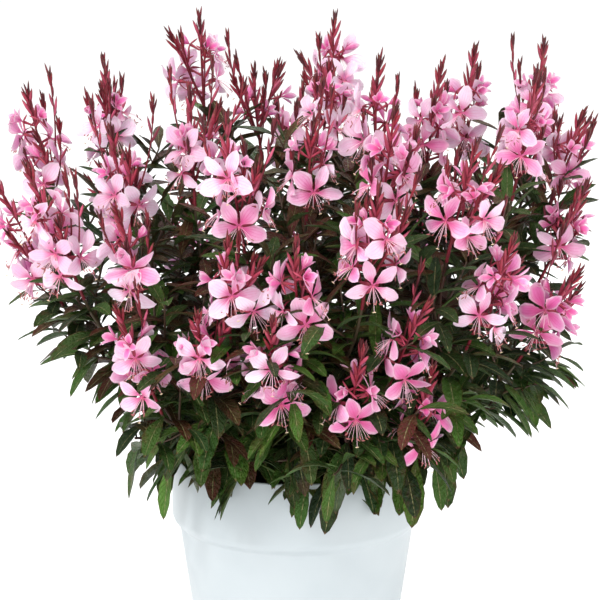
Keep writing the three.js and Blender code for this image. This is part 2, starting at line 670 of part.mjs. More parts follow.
function growLine(plant, role, goal, startRadius, from, way) {
  for (const sway of SWAYS) {
    const steps = stepsAlong(stemCurve(from, way, goal, sway), STEM_STEPS[role]);
    const solid = rodSolid(steps, startRadius, goal.sideways, role === 'main');
    if (keepsClear(solid, plant.node)) {
      const line = { role, outward: goal.outward, sideways: goal.sideways, steps };
      place(plant.node, solid, { line });
      plant.lines.push(line);
      plant.solids.push(solid);
      return;
    }
  }
  throw new Error(`${plant.node}: no way clear for its ${role}`);
}

// A low shoot's goal: outwards over the rim, to one side of its stem.
function shootGoal(plant) {
  const outward = outwardAt(plant.stem.bearing + SHOOT.swing);
  const base = sum(new THREE.Vector3(0, 0, SHOOT.height), [outward, SHOOT.reach]);
  return { base, rise: sum(outward, [UP, 0.1]).normalize(), outward, sideways: across(UP, outward) };
}

function growLines(plant) {
  const [first, ...others] = plant.sprays;
  const lean = 0.35 + (0.3 * plant.stem.foot) / 34;
  const way = sum(UP, [first.outward, lean]).normalize();
  growLine(plant, 'main', first, STEM.footRadius, plant.foot, way);
  others.forEach((spray, i) => {
    const leave = pointOnSteps(plant.lines[0].steps, BRANCHING.first + BRANCHING.step * i);
    growLine(plant, 'branch', spray, STEM.branchRadius, leave.at, leave.way);
  });
  if (plant.outer) {
    const leave = pointOnSteps(plant.lines[0].steps, SHOOT.leaves);
    growLine(plant, 'shoot', shootGoal(plant), STEM.branchRadius, leave.at, leave.way);
  }
}

function growWands(spray) {
  spray.wands = spray.wands.filter((wand) => {
    wand.rod = wandSolid(wand);
    return keepsClear(wand.rod, spray.node);
  });
  spray.wands.forEach((wand) => place(spray.node, wand.rod, { isWand: true }));
}

// A bloom's head keeps clear of everything, and its tube of everything but the wands it grows from.
function placeBloom(spray, bloom) {
  for (const attempt of bloomTries()) {
    const set = setBloom(bloom, attempt);
    const solid = bloomSolid(bloom, set);
    if (keepsClear(bloomSolid(bloom, set, true), spray.node, () => true)
      && keepsClear(solid, spray.node, (other) => !other.isWand)) {
      place(spray.node, solid);
      return { bloom, set };
    }
  }
  return null;
}

function growBlooms(spray) {
  for (const wand of spray.wands) {
    const blooms = [];
    for (let i = 0; i < wand.blooms; i++) {
      const set = placeBloom(spray, growBloom(wand, i, spray.draw));
      if (set) blooms.push(set);
    }
    spray.solids.push(wandSolid(wand, blooms));
  }
}

function placeLeaf(plant, leaf) {
  for (const attempt of leafTries()) {
    const solid = leafSolid(leaf, setLeaf(leaf, attempt));
    if (keepsClear(solid, plant.node, (other) => other.line !== leaf.line)) {
      place(plant.node, solid);
      plant.solids.push(solid);
      return;
    }
  }
}

function growLeaves(plant) {
  for (const line of plant.lines) {
    for (const spot of leafPlaces(line, plant.outer, plant.leafDraw)) {
      placeLeaf(plant, growLeaf(line, spot, plant.leafDraw));
    }
  }
}

// Stems first, then the soil round their feet, the wands, the blooms and last the leaves
const sprays = plants.flatMap((plant) => plant.sprays);
const pot = potSolid();
place('pot', pot);
plants.forEach(growLines);
const soil = soilSolid(plants.map(({ lines: [main] }) => stemHole(main.steps[0], main.sideways)));
place('soil', soil);
sprays.forEach(growWands);
sprays.forEach(growBlooms);
plants.forEach(growLeaves);

const gaura = new THREE.Group();
gaura.name = 'potted_gaura';

function addNode(name, solid, look) {
  const mesh = new THREE.Mesh(geometryFromSolid(solid), new THREE.MeshStandardMaterial(look));
  mesh.name = name;
  gaura.add(mesh);
}

addNode('pot', pot, POT_WHITE);
addNode('soil', soil, SOIL_BROWN);
plants.forEach(({ node, solids }) => addNode(node, Manifold.union(solids), LEAF_GREEN));
sprays.forEach(({ node, solids }) => addNode(node, Manifold.union(solids), BLOOM_PINK));

export default gaura;
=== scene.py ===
# %% [markdown]
# # A potted gaura
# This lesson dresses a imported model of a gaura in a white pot. Gaura is a bushy perennial with
# narrow dark leaves and wiry red wands that carry pink blooms like small butterflies. The packed
# model holds a faceted solid for the pot, the soil, each leafy stem and each flower spray. The
# lesson grows the same plant again by the same rule, so that every fine leaf and bloom lies where
# its solid lies, and then adds what was too small for the solids. Lengths are in millimetres while
# the plant grows, and each mesh is turned into metres when it is made.

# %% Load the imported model
import functools
import math
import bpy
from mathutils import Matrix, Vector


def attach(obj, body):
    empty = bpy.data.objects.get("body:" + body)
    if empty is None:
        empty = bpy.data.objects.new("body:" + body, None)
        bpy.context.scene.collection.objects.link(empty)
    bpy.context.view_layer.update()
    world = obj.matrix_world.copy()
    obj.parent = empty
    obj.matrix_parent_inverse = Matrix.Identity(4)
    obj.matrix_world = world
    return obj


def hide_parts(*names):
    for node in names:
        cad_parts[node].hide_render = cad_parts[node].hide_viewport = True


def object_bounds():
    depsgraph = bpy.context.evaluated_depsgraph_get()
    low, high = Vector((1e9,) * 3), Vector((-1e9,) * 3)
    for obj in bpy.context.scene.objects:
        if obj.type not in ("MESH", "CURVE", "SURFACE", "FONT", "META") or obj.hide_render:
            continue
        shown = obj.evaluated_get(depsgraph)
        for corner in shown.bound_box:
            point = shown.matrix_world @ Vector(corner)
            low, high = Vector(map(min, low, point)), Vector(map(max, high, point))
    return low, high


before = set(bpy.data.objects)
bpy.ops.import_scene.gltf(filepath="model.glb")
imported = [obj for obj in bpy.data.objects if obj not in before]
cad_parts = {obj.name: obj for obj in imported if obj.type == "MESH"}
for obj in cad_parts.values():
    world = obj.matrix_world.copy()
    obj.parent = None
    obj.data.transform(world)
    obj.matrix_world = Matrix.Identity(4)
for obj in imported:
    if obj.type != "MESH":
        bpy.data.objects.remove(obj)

from types import SimpleNamespace as Made

import bpy
import numpy as np
from mathutils import noise

cad_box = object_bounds()
MM = 0.001
UP = np.array([0.0, 0.0, 1.0])
print("nodes in the frame:", len(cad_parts))

# %% [markdown]
# ## Camera
# The picture was taken from a little above the plant with a long lens, so upright lines stay
# nearly parallel. A camera can be framed by eye, but it is easier to keep when it is worked out:
# it looks at a point inside the plant, from a given distance, elevation and angle of view.

# %% Camera
LOOK_AT = np.array([0.0025, 0.0, 0.2588])
CAMERA_DISTANCE = 1.70
CAMERA_ELEVATION = math.radians(12.5)
VIEW_ANGLE = math.radians(13.55)

camera = bpy.data.objects.new("camera", bpy.data.cameras.new("camera"))
back_off = np.array([0.0, -math.cos(CAMERA_ELEVATION), math.sin(CAMERA_ELEVATION)])
camera.location = LOOK_AT + back_off * CAMERA_DISTANCE
camera.rotation_euler = (math.pi / 2 - CAMERA_ELEVATION, 0, 0)
camera.data.angle = VIEW_ANGLE
bpy.context.collection.objects.link(camera)
bpy.context.scene.camera = camera
print("camera height in metres:", round(camera.location.z, 3))

# %% [markdown]
# ## Shader helpers
# A material is a small graph of nodes. Writing each node out takes four or five lines, so these
# helpers make a node with its settings and links in one call. Values that change over a surface
# are links, and values that don't are numbers on the socket itself.

# %% Shader helpers
def shader_node(tree, kind, inputs=None, **settings):
    """Adds a node; inputs maps a socket's name or number to a value or to another node's output."""
    made = tree.nodes.new(kind)
    for name, value in settings.items():
        setattr(made, name, value)
    for name, value in (inputs or {}).items():
        if isinstance(value, bpy.types.NodeSocket):
            tree.links.new(value, made.inputs[name])
        else:
            made.inputs[name].default_value = value
    return made


def maths(tree, operation, *values):
    inputs = dict(enumerate(values))
    return shader_node(tree, "ShaderNodeMath", inputs, operation=operation).outputs[0]


def mix_colours(tree, share, one, other):
    inputs = {0: share, 6: one, 7: other}
    return shader_node(tree, "ShaderNodeMix", inputs, data_type="RGBA").outputs[2]


def ease(tree, value, low, high, at_low=0.0, at_high=1.0):
    """A smooth step from at_low to at_high while value goes from low to high."""
    inputs = {"Value": value, "From Min": low, "From Max": high, "To Min": at_low, "To Max": at_high}
    kind = "ShaderNodeMapRange"
    return shader_node(tree, kind, inputs, interpolation_type="SMOOTHSTEP").outputs["Result"]


def new_group(name, inputs, outputs):
    """A node group with named number inputs, which hold their first values, and named outputs."""
    group = bpy.data.node_groups.new(name, "ShaderNodeTree")
    for title, start in inputs.items():
        group.interface.new_socket(title, in_out="INPUT", socket_type="NodeSocketFloat").default_value = start
    for title in outputs:
        group.interface.new_socket(title, in_out="OUTPUT", socket_type="NodeSocketFloat")
    return group, group.nodes.new("NodeGroupInput").outputs, group.nodes.new("NodeGroupOutput").inputs


def use_group(tree, group, inputs):
    return shader_node(tree, "ShaderNodeGroup", inputs, node_tree=group).outputs


def new_material(name, **shader_numbers):
    """A material with a Principled shader, and the tree and shader to go on with."""
    material = bpy.data.materials.new(name)
    material.use_nodes = True
    shader = material.node_tree.nodes["Principled BSDF"]
    for title, value in shader_numbers.items():
        shader.inputs[title.replace("_", " ")].default_value = value
    return material, material.node_tree, shader


print("shader helpers are ready")

# %% [markdown]
# ## Three shared effects
# Leaves and petals both have a midrib and veins, so one group draws them from two numbers that
# each blade's mesh carries: how far along the blade a point is, and how far across. Nothing on a
# plant has one even colour, so a second group gives a soft mottle. A third gives the fine relief
# of a surface, from coarse to fine, which plastic, soil, bark and leaf skin all use.

# %% Veins, mottle and relief
MIDRIB_CORE = 0.35
VEIN_CORE = 0.02
VEIN_EDGE = 0.16
BROAD_SCALE = 0.18


def make_veins():
    group, given, result = new_group(
        "blade_veins",
        {"Along": 0.0, "Across": 0.0, "Count": 9.0, "Slant": 2.0, "Midrib": 0.08},
        ["Midrib", "Veins"])
    aside = maths(group, "ABSOLUTE", given["Across"])
    inner = maths(group, "MULTIPLY", given["Midrib"], MIDRIB_CORE)
    group.links.new(ease(group, aside, inner, given["Midrib"], 1.0, 0.0), result["Midrib"])
    slanted = maths(group, "MULTIPLY", aside, given["Slant"])
    row = maths(group, "SUBTRACT", maths(group, "MULTIPLY", given["Along"], given["Count"]), slanted)
    near = maths(group, "PINGPONG", row, 0.5)
    group.links.new(ease(group, near, VEIN_CORE, VEIN_EDGE, 1.0, 0.0), result["Veins"])
    return group


def make_mottle():
    group, given, result = new_group("soft_mottle", {"Scale": 60.0, "Low": 0.35, "High": 0.65}, ["Patches"])
    where = group.nodes.new("ShaderNodeTexCoord").outputs["Object"]
    inputs = {"Vector": where, "Scale": given["Scale"], "Detail": 3.0, "Roughness": 0.6}
    patches = shader_node(group, "ShaderNodeTexNoise", inputs).outputs["Fac"]
    group.links.new(ease(group, patches, given["Low"], given["High"]), result["Patches"])
    return group


def make_relief():
    group, given, result = new_group("fine_relief", {"Scale": 400.0, "Coarse": 0.5}, ["Height"])
    where = group.nodes.new("ShaderNodeTexCoord").outputs["Object"]
    small = {"Vector": where, "Scale": given["Scale"], "Detail": 4.0, "Roughness": 0.7}
    fine = shader_node(group, "ShaderNodeTexNoise", small).outputs["Fac"]
    wide_scale = maths(group, "MULTIPLY", given["Scale"], BROAD_SCALE)
    broad = shader_node(group, "ShaderNodeTexNoise", {"Vector": where, "Scale": wide_scale}).outputs["Fac"]
    share = maths(group, "MULTIPLY", broad, given["Coarse"])
    group.links.new(maths(group, "ADD", fine, share), result["Height"])
    return group


VEINS = make_veins()
MOTTLE = make_mottle()
RELIEF = make_relief()
print("node groups:", [group.name for group in bpy.data.node_groups])

# %% [markdown]
# ## What a mesh tells its material
# Each plant mesh carries two attributes. "place" holds how far along and across a blade a point
# is, and whether it is on the underside. "tone" holds what differs from one leaf or bloom to the
# next: how light it is, how red, and how young. One material can then colour three thousand
# leaves, each in its own way.

# %% Reading the two attributes
def read_place(tree):
    found = shader_node(tree, "ShaderNodeAttribute", attribute_name="place").outputs["Vector"]
    return shader_node(tree, "ShaderNodeSeparateXYZ", {0: found}).outputs


def read_tone(tree):
    found = shader_node(tree, "ShaderNodeAttribute", attribute_name="tone").outputs["Vector"]
    return shader_node(tree, "ShaderNodeSeparateXYZ", {0: found}).outputs


def add_relief(tree, shader, height, strength, distance):
    inputs = {"Height": height, "Strength": strength, "Distance": distance}
    tree.links.new(shader_node(tree, "ShaderNodeBump", inputs).outputs["Normal"], shader.inputs["Normal"])


print("attributes: place (along, across, underside) and tone (light, red, young)")

# %% [markdown]
# ## Leaf material
# A gaura's leaf is dark green with a soft sheen, a faint and broken pale midrib, and a thin red
# margin. Many leaves are tinged bronze or maroon, most of all high on the stems, and a few young
# ones low in the middle are fresh green. The underside is paler and duller. A photograph of a leaf
# would do, but a drawn one stays sharp and lets every leaf differ.

# %% Leaf
LEAF_DARK = (0.0100, 0.0315, 0.0090, 1)
LEAF_LIGHT = (0.055, 0.142, 0.016, 1)
LEAF_YOUNG = (0.085, 0.200, 0.018, 1)
LEAF_BRONZE = (0.092, 0.0165, 0.0120, 1)
LEAF_MIDRIB = (0.40, 0.38, 0.17, 1)
LEAF_MARGIN = (0.13, 0.030, 0.020, 1)
LEAF_FLUSH = (0.15, 0.040, 0.030, 1)
LEAF_UNDERSIDE = (0.062, 0.105, 0.036, 1)
LEAF_LOOK = Made(
    gloss=0.30, smooth=0.34, rough=0.54, least_red=0.8, patchy_red=0.5, flush=0.38, veins=0.22,
    margin_from=0.90, margin=0.55, tip_from=0.92, tip=0.8, least_midrib=0.10, dashed_midrib=0.58,
    underside=0.6, puckers=1.4, sunk_veins=-0.9, sunk_midrib=-2.0, relief=0.9, relief_depth=0.0009)


def leaf_material():
    look = LEAF_LOOK
    material, tree, shader = new_material("gaura_leaf", Specular_IOR_Level=look.gloss)
    place, tone = read_place(tree), read_tone(tree)
    along, across, below = place[0], place[1], place[2]
    rows = {"Along": along, "Across": across, "Count": 9.0, "Slant": 2.2, "Midrib": 0.11}
    veins = use_group(tree, VEINS, rows)
    patches = use_group(tree, MOTTLE, {"Scale": 130.0, "Low": 0.3, "High": 0.75})["Patches"]
    fresh = mix_colours(tree, tone[0], LEAF_DARK, LEAF_LIGHT)
    fresh = mix_colours(tree, tone[2], fresh, LEAF_YOUNG)
    patchy = maths(tree, "MULTIPLY_ADD", patches, look.patchy_red, look.least_red)
    colour = mix_colours(tree, maths(tree, "MULTIPLY", tone[1], patchy), fresh, LEAF_BRONZE)
    blotches = use_group(tree, MOTTLE, {"Scale": 62.0, "Low": 0.52, "High": 0.72})["Patches"]
    colour = mix_colours(tree, maths(tree, "MULTIPLY", blotches, look.flush), colour, LEAF_FLUSH)
    colour = mix_colours(tree, maths(tree, "MULTIPLY", veins["Veins"], look.veins), colour, LEAF_YOUNG)
    edge = ease(tree, maths(tree, "ABSOLUTE", across), look.margin_from, 1.0, 0.0, look.margin)
    edge = maths(tree, "MAXIMUM", edge, ease(tree, along, look.tip_from, 1.0, 0.0, look.tip))
    colour = mix_colours(tree, edge, colour, LEAF_MARGIN)
    dashes = use_group(tree, MOTTLE, {"Scale": 380.0, "Low": 0.38, "High": 0.60})["Patches"]
    dashed = maths(tree, "MULTIPLY_ADD", dashes, look.dashed_midrib, look.least_midrib)
    colour = mix_colours(tree, maths(tree, "MULTIPLY", veins["Midrib"], dashed), colour, LEAF_MIDRIB)
    colour = mix_colours(tree, maths(tree, "MULTIPLY", below, look.underside), colour, LEAF_UNDERSIDE)
    tree.links.new(colour, shader.inputs["Base Color"])
    tree.links.new(ease(tree, patches, 0.0, 1.0, look.smooth, look.rough), shader.inputs["Roughness"])
    grain = use_group(tree, RELIEF, {"Scale": 900.0, "Coarse": 1.6})["Height"]
    puckers = use_group(tree, MOTTLE, {"Scale": 300.0, "Low": 0.3, "High": 0.7})["Patches"]
    raised = maths(tree, "MULTIPLY_ADD", puckers, look.puckers, grain)
    groove = maths(tree, "MULTIPLY", veins["Midrib"], look.sunk_midrib)
    sunk = maths(tree, "MULTIPLY_ADD", veins["Veins"], look.sunk_veins, groove)
    add_relief(tree, shader, maths(tree, "ADD", raised, sunk), look.relief, look.relief_depth)
    return material


LEAF = leaf_material()
print("material:", LEAF.name)

# %% [markdown]
# ## Petal material
# The petals are thin and pink, deeper at their narrow foot and paler towards the rim, with fine
# deeper veins that fan out along them. Some light passes through, which a little subsurface
# scattering gives. Each bloom has its own strength of pink, partly at random because they fade as
# they age, and partly as painted light: blooms high on the left are paler, as if more brightly lit.

# %% Petal
PETAL_PALE = (0.96, 0.72, 0.92, 1)
PETAL_PINK = (0.88, 0.170, 0.460, 1)
PETAL_DEEP = (0.72, 0.050, 0.245, 1)
PETAL_RIM = (0.98, 0.86, 0.96, 1)
PETAL_GLOW = (1.0, 0.4, 0.75)
PETAL_LOOK = Made(
    pale_flush=0.1, flush=0.35, rim=0.55, rim_from=0.7, side_rim_from=0.45, lines=0.55, lines_out=0.08,
    lines_when_pale=0.5, spots=0.35, thin_lines=0.18, fine_when_pale=0.45, foot=0.9, short_foot=0.45,
    long_foot=0.68, heart=0.35, heart_width=0.6, aged=0.4, sunk_lines=-0.8, sunk_thin_lines=-0.5,
    relief=0.45, relief_depth=0.0005)


def petal_material():
    look = PETAL_LOOK
    material, tree, shader = new_material(
        "gaura_petal", Roughness=0.55, Subsurface_Weight=0.3, Subsurface_Scale=0.003, Sheen_Weight=0.15)
    shader.inputs["Subsurface Radius"].default_value = PETAL_GLOW
    place, tone = read_place(tree), read_tone(tree)
    along, across = place[0], place[1]
    rows = {"Along": across, "Across": along, "Count": 3.0, "Slant": 0.3, "Midrib": 0.12}
    fan = use_group(tree, VEINS, rows)
    thin_rows = {"Along": across, "Across": along, "Count": 7.0, "Slant": 0.5, "Midrib": 0.12}
    thin_fan = use_group(tree, VEINS, thin_rows)
    patches = use_group(tree, MOTTLE, {"Scale": 190.0, "Low": 0.3, "High": 0.75})["Patches"]
    colour = mix_colours(tree, tone[0], PETAL_PALE, PETAL_PINK)
    flushed = maths(tree, "MULTIPLY", patches, ease(tree, tone[0], 0.0, 0.5, look.pale_flush, look.flush))
    colour = mix_colours(tree, flushed, colour, PETAL_PINK)
    aside = maths(tree, "ABSOLUTE", across)
    end_rim = ease(tree, along, look.rim_from, 1.0)
    rim = maths(tree, "MAXIMUM", end_rim, ease(tree, aside, look.side_rim_from, 1.0))
    colour = mix_colours(tree, maths(tree, "MULTIPLY", rim, look.rim), colour, PETAL_RIM)
    lines = maths(tree, "MULTIPLY", fan["Veins"], ease(tree, along, 0.25, 1.0, look.lines, look.lines_out))
    lines = maths(tree, "MULTIPLY", lines, ease(tree, tone[0], 0.0, 0.6, look.lines_when_pale, 1.0))
    colour = mix_colours(tree, lines, colour, PETAL_DEEP)
    spots = use_group(tree, MOTTLE, {"Scale": 520.0, "Low": 0.58, "High": 0.74})["Patches"]
    spots = maths(tree, "MULTIPLY", spots, look.spots)
    fine = maths(tree, "MAXIMUM", maths(tree, "MULTIPLY", thin_fan["Veins"], look.thin_lines), spots)
    fine = maths(tree, "MULTIPLY", fine, ease(tree, tone[0], 0.0, 0.6, look.fine_when_pale, 1.0))
    colour = mix_colours(tree, fine, colour, PETAL_DEEP)
    foot_end = ease(tree, tone[0], 0.0, 1.0, look.short_foot, look.long_foot)
    foot = ease(tree, along, 0.1, foot_end, look.foot, 0.0)
    colour = mix_colours(tree, foot, colour, PETAL_DEEP)
    heart = ease(tree, aside, 0.0, look.heart_width, look.heart, 0.0)
    heart = maths(tree, "MULTIPLY", heart, ease(tree, along, 0.3, 1.0, 1.0, 0.0))
    colour = mix_colours(tree, maths(tree, "MULTIPLY", heart, tone[0]), colour, PETAL_DEEP)
    colour = mix_colours(tree, maths(tree, "MULTIPLY", tone[1], look.aged), colour, PETAL_DEEP)
    tree.links.new(colour, shader.inputs["Base Color"])
    raised = maths(tree, "MULTIPLY_ADD", fan["Veins"], look.sunk_lines, patches)
    raised = maths(tree, "MULTIPLY_ADD", thin_fan["Veins"], look.sunk_thin_lines, raised)
    add_relief(tree, shader, raised, look.relief, look.relief_depth)
    return material


PETAL = petal_material()
print("material:", PETAL.name)

# %% [markdown]
# ## Red growth: wands, buds, sepals and flower tubes
# The flowering parts are crimson to maroon, darker on old wood and brighter on young buds, whose
# tips and seams are touched with yellow green. One material covers them all: "tone" says how
# bright a piece is, and its place along a bud gives the change of colour towards the tip.

# %% Red growth
WAND_MAROON = (0.070, 0.0080, 0.013, 1)
BUD_CRIMSON = (0.350, 0.020, 0.040, 1)
BUD_PINK = (0.70, 0.13, 0.24, 1)
BUD_GREENISH = (0.22, 0.16, 0.055, 1)
RED_LOOK = Made(
    gloss=0.35, smooth=0.42, rough=0.62, seam_from=0.55, patches=0.35, tip_from=0.7, tip=0.5,
    relief=0.35, relief_depth=0.0003)


def red_material():
    look = RED_LOOK
    material, tree, shader = new_material("gaura_red_growth", Specular_IOR_Level=look.gloss)
    place, tone = read_place(tree), read_tone(tree)
    patches = use_group(tree, MOTTLE, {"Scale": 320.0, "Low": 0.35, "High": 0.7})["Patches"]
    colour = mix_colours(tree, tone[0], WAND_MAROON, BUD_CRIMSON)
    colour = mix_colours(tree, tone[1], colour, BUD_PINK)
    near_tip = ease(tree, place[0], look.seam_from, 1.0)
    seam = maths(tree, "MULTIPLY", near_tip, maths(tree, "MULTIPLY", patches, tone[2]))
    colour = mix_colours(tree, seam, colour, BUD_GREENISH)
    colour = mix_colours(tree, maths(tree, "MULTIPLY", patches, look.patches), colour, WAND_MAROON)
    tip = ease(tree, place[0], look.tip_from, 1.0, 0.0, look.tip)
    colour = mix_colours(tree, tip, colour, WAND_MAROON)
    tree.links.new(colour, shader.inputs["Base Color"])
    tree.links.new(ease(tree, patches, 0.0, 1.0, look.smooth, look.rough), shader.inputs["Roughness"])
    grain = use_group(tree, RELIEF, {"Scale": 1800.0, "Coarse": 0.6})["Height"]
    add_relief(tree, shader, grain, look.relief, look.relief_depth)
    return material


RED_GROWTH = red_material()
print("material:", RED_GROWTH.name)

# %% [markdown]
# ## Stems and stamens
# The leafy stems are olive green and woody below and flush maroon higher up. Stamens have pale
# pink filaments with rusty anthers, and the style ends in a creamy four-lobed stigma. The mesh
# says which is which through "tone", so one material serves them.

# %% Stems and stamens
STEM_OLIVE = (0.060, 0.062, 0.024, 1)
STEM_MAROON = (0.075, 0.016, 0.018, 1)
FILAMENT_PALE = (0.86, 0.58, 0.66, 1)
FILAMENT_FOOT = (0.74, 0.14, 0.27, 1)
ANTHER_RUST = (0.33, 0.085, 0.060, 1)
STIGMA_CREAM = (0.80, 0.66, 0.42, 1)
STEM_LOOK = Made(least_red=0.7, patchy_red=0.4, relief=0.5, relief_depth=0.0005)
STAMEN_LOOK = Made(foot=0.45, patches=0.12)


def stem_material():
    look = STEM_LOOK
    material, tree, shader = new_material("gaura_stem", Roughness=0.6)
    tone = read_tone(tree)
    patches = use_group(tree, MOTTLE, {"Scale": 200.0, "Low": 0.3, "High": 0.7})["Patches"]
    patchy = maths(tree, "MULTIPLY_ADD", patches, look.patchy_red, look.least_red)
    redness = maths(tree, "MULTIPLY", tone[1], patchy)
    tree.links.new(mix_colours(tree, redness, STEM_OLIVE, STEM_MAROON), shader.inputs["Base Color"])
    grain = use_group(tree, RELIEF, {"Scale": 900.0, "Coarse": 1.0})["Height"]
    add_relief(tree, shader, grain, look.relief, look.relief_depth)
    return material


def stamen_material():
    material, tree, shader = new_material("gaura_stamen", Roughness=0.5)
    place, tone = read_place(tree), read_tone(tree)
    thread = mix_colours(tree, ease(tree, place[0], 0.0, STAMEN_LOOK.foot), FILAMENT_FOOT, FILAMENT_PALE)
    colour = mix_colours(tree, tone[1], thread, ANTHER_RUST)
    colour = mix_colours(tree, tone[2], colour, STIGMA_CREAM)
    patches = use_group(tree, MOTTLE, {"Scale": 900.0, "Low": 0.3, "High": 0.7})["Patches"]
    colour = mix_colours(tree, maths(tree, "MULTIPLY", patches, STAMEN_LOOK.patches), colour, FILAMENT_FOOT)
    tree.links.new(colour, shader.inputs["Base Color"])
    return material


STEM_BARK = stem_material()
STAMEN = stamen_material()
print("materials:", STEM_BARK.name, STAMEN.name)

# %% [markdown]
# ## Pot and soil materials
# The pot is cool white moulded plastic with a satin surface: very fine grain, soft clouding, and a
# little soil dust round the foot, where water leaves it. The soil is dark and moist, with lighter
# fibres and a few pale grains.

# %% Pot and soil
POT_WHITE = (0.490, 0.536, 0.556, 1)
POT_CLOUD = (0.450, 0.500, 0.524, 1)
POT_DUST = (0.42, 0.38, 0.31, 1)
SOIL_DARK = (0.013, 0.008, 0.005, 1)
SOIL_FIBRE = (0.085, 0.050, 0.028, 1)
GRAIN_PALE = (0.55, 0.52, 0.45, 1)
POT_LOOK = Made(
    smooth=0.36, rough=0.48, dusty_height=0.022, foot_dust=0.35, wall_dust=0.02, cloudy_dust=0.7,
    relief=0.12, relief_depth=0.0003)
SOIL_LOOK = Made(fibres=0.6, relief=0.9, relief_depth=0.0015)


def pot_material():
    look = POT_LOOK
    material, tree, shader = new_material("moulded_white", IOR=1.49)
    clouds = use_group(tree, MOTTLE, {"Scale": 14.0, "Low": 0.3, "High": 0.75})["Patches"]
    specks = use_group(tree, MOTTLE, {"Scale": 700.0, "Low": 0.66, "High": 0.74})["Patches"]
    position = tree.nodes.new("ShaderNodeNewGeometry").outputs["Position"]
    height = shader_node(tree, "ShaderNodeSeparateXYZ", {0: position})
    colour = mix_colours(tree, clouds, POT_WHITE, POT_CLOUD)
    foot = ease(tree, height.outputs[2], 0.0, look.dusty_height, look.foot_dust, look.wall_dust)
    dust = maths(tree, "MULTIPLY", foot, maths(tree, "MULTIPLY_ADD", clouds, look.cloudy_dust, specks))
    tree.links.new(mix_colours(tree, dust, colour, POT_DUST), shader.inputs["Base Color"])
    tree.links.new(ease(tree, clouds, 0.0, 1.0, look.smooth, look.rough), shader.inputs["Roughness"])
    grain = use_group(tree, RELIEF, {"Scale": 1300.0, "Coarse": 0.6})["Height"]
    add_relief(tree, shader, grain, look.relief, look.relief_depth)
    return material


def soil_material():
    material, tree, shader = new_material("dark_soil", Roughness=0.92)
    tone = read_tone(tree)
    fibres = use_group(tree, MOTTLE, {"Scale": 420.0, "Low": 0.52, "High": 0.7})["Patches"]
    colour = mix_colours(tree, maths(tree, "MULTIPLY", fibres, SOIL_LOOK.fibres), SOIL_DARK, SOIL_FIBRE)
    tree.links.new(mix_colours(tree, tone[0], colour, GRAIN_PALE), shader.inputs["Base Color"])
    grain = use_group(tree, RELIEF, {"Scale": 600.0, "Coarse": 1.5})["Height"]
    add_relief(tree, shader, grain, SOIL_LOOK.relief, SOIL_LOOK.relief_depth)
    return material


POT_PLASTIC = pot_material()
POTTING_SOIL = soil_material()
print("materials:", POT_PLASTIC.name, POTTING_SOIL.name)

# %% [markdown]
# ## Floor and light
# The plant stands in front of plain white, lit softly from all sides as in a studio. A pale floor,
# wide enough to fill the picture, and an even white surround do that. A large lamp above the camera
# to the left gives the petals their form, a second on the right fills in, a low one in front lights
# the pot under its leaves, and one behind lights the edges.

# %% Floor and light
PAPER_DULL = (0.93, 0.93, 0.93, 1)
PAPER_BRIGHT = (0.95, 0.95, 0.95, 1)
STUDIO_WHITE = (1.0, 1.0, 1.0, 1)
FLOOR_REACH = 30.0


def add_floor():
    corners = [(x * FLOOR_REACH, y * FLOOR_REACH, 0) for x, y in ((-1, -1), (1, -1), (1, 1), (-1, 1))]
    mesh = bpy.data.meshes.new("floor")
    mesh.from_pydata(corners, [], [(0, 1, 2, 3)])
    material, tree, shader = new_material("floor_paper", Roughness=0.9, Emission_Strength=0.08)
    cloud = use_group(tree, MOTTLE, {"Scale": 1.5, "Low": 0.2, "High": 0.8})["Patches"]
    colour = mix_colours(tree, cloud, PAPER_DULL, PAPER_BRIGHT)
    tree.links.new(colour, shader.inputs["Base Color"])
    mesh.materials.append(material)
    floor = bpy.data.objects.new("floor", mesh)
    bpy.context.collection.objects.link(floor)


def add_lamp(name, place, size, watts):
    lamp = bpy.data.lights.new(name, "AREA")
    lamp.size = size
    lamp.energy = watts
    holder = bpy.data.objects.new(name, lamp)
    holder.location = place
    away = np.array(place) - LOOK_AT
    holder.rotation_euler = (math.atan2(math.hypot(away[0], away[1]), away[2]), 0,
                             math.atan2(away[0], -away[1]))
    bpy.context.collection.objects.link(holder)


add_floor()
add_lamp("key_lamp", (-1.3, -1.6, 2.2), size=0.8, watts=50.0)
add_lamp("fill_lamp", (2.4, -0.4, 0.9), size=1.2, watts=14.0)
add_lamp("low_lamp", (0.1, -2.2, 0.30), size=1.2, watts=11.0)
add_lamp("back_lamp", (0.5, 1.6, 1.7), size=1.0, watts=14.0)
world = bpy.data.worlds.new("studio")
world.use_nodes = True
world.node_tree.nodes["Background"].inputs["Color"].default_value = STUDIO_WHITE
world.node_tree.nodes["Background"].inputs["Strength"].default_value = 1.0
bpy.context.scene.world = world
bpy.context.scene.view_settings.view_transform = "Standard"
print("lamps:", len(bpy.data.lights))

# %% [markdown]
# ## Gathering a mesh
# A leafy stem has hundreds of blades and rods. Making an object for each would be slow and hard to
# handle, so each piece of the plant gathers its skins as arrays, and becomes one mesh at the end.
# Every skin is closed: a blade is two grids that share their rim, and a rod has a hub at each end.
# Smooth shading with sharp rims then gives soft blades with crisp edges.

# %% Gathering skins
SHARP_ANGLE = math.radians(75)


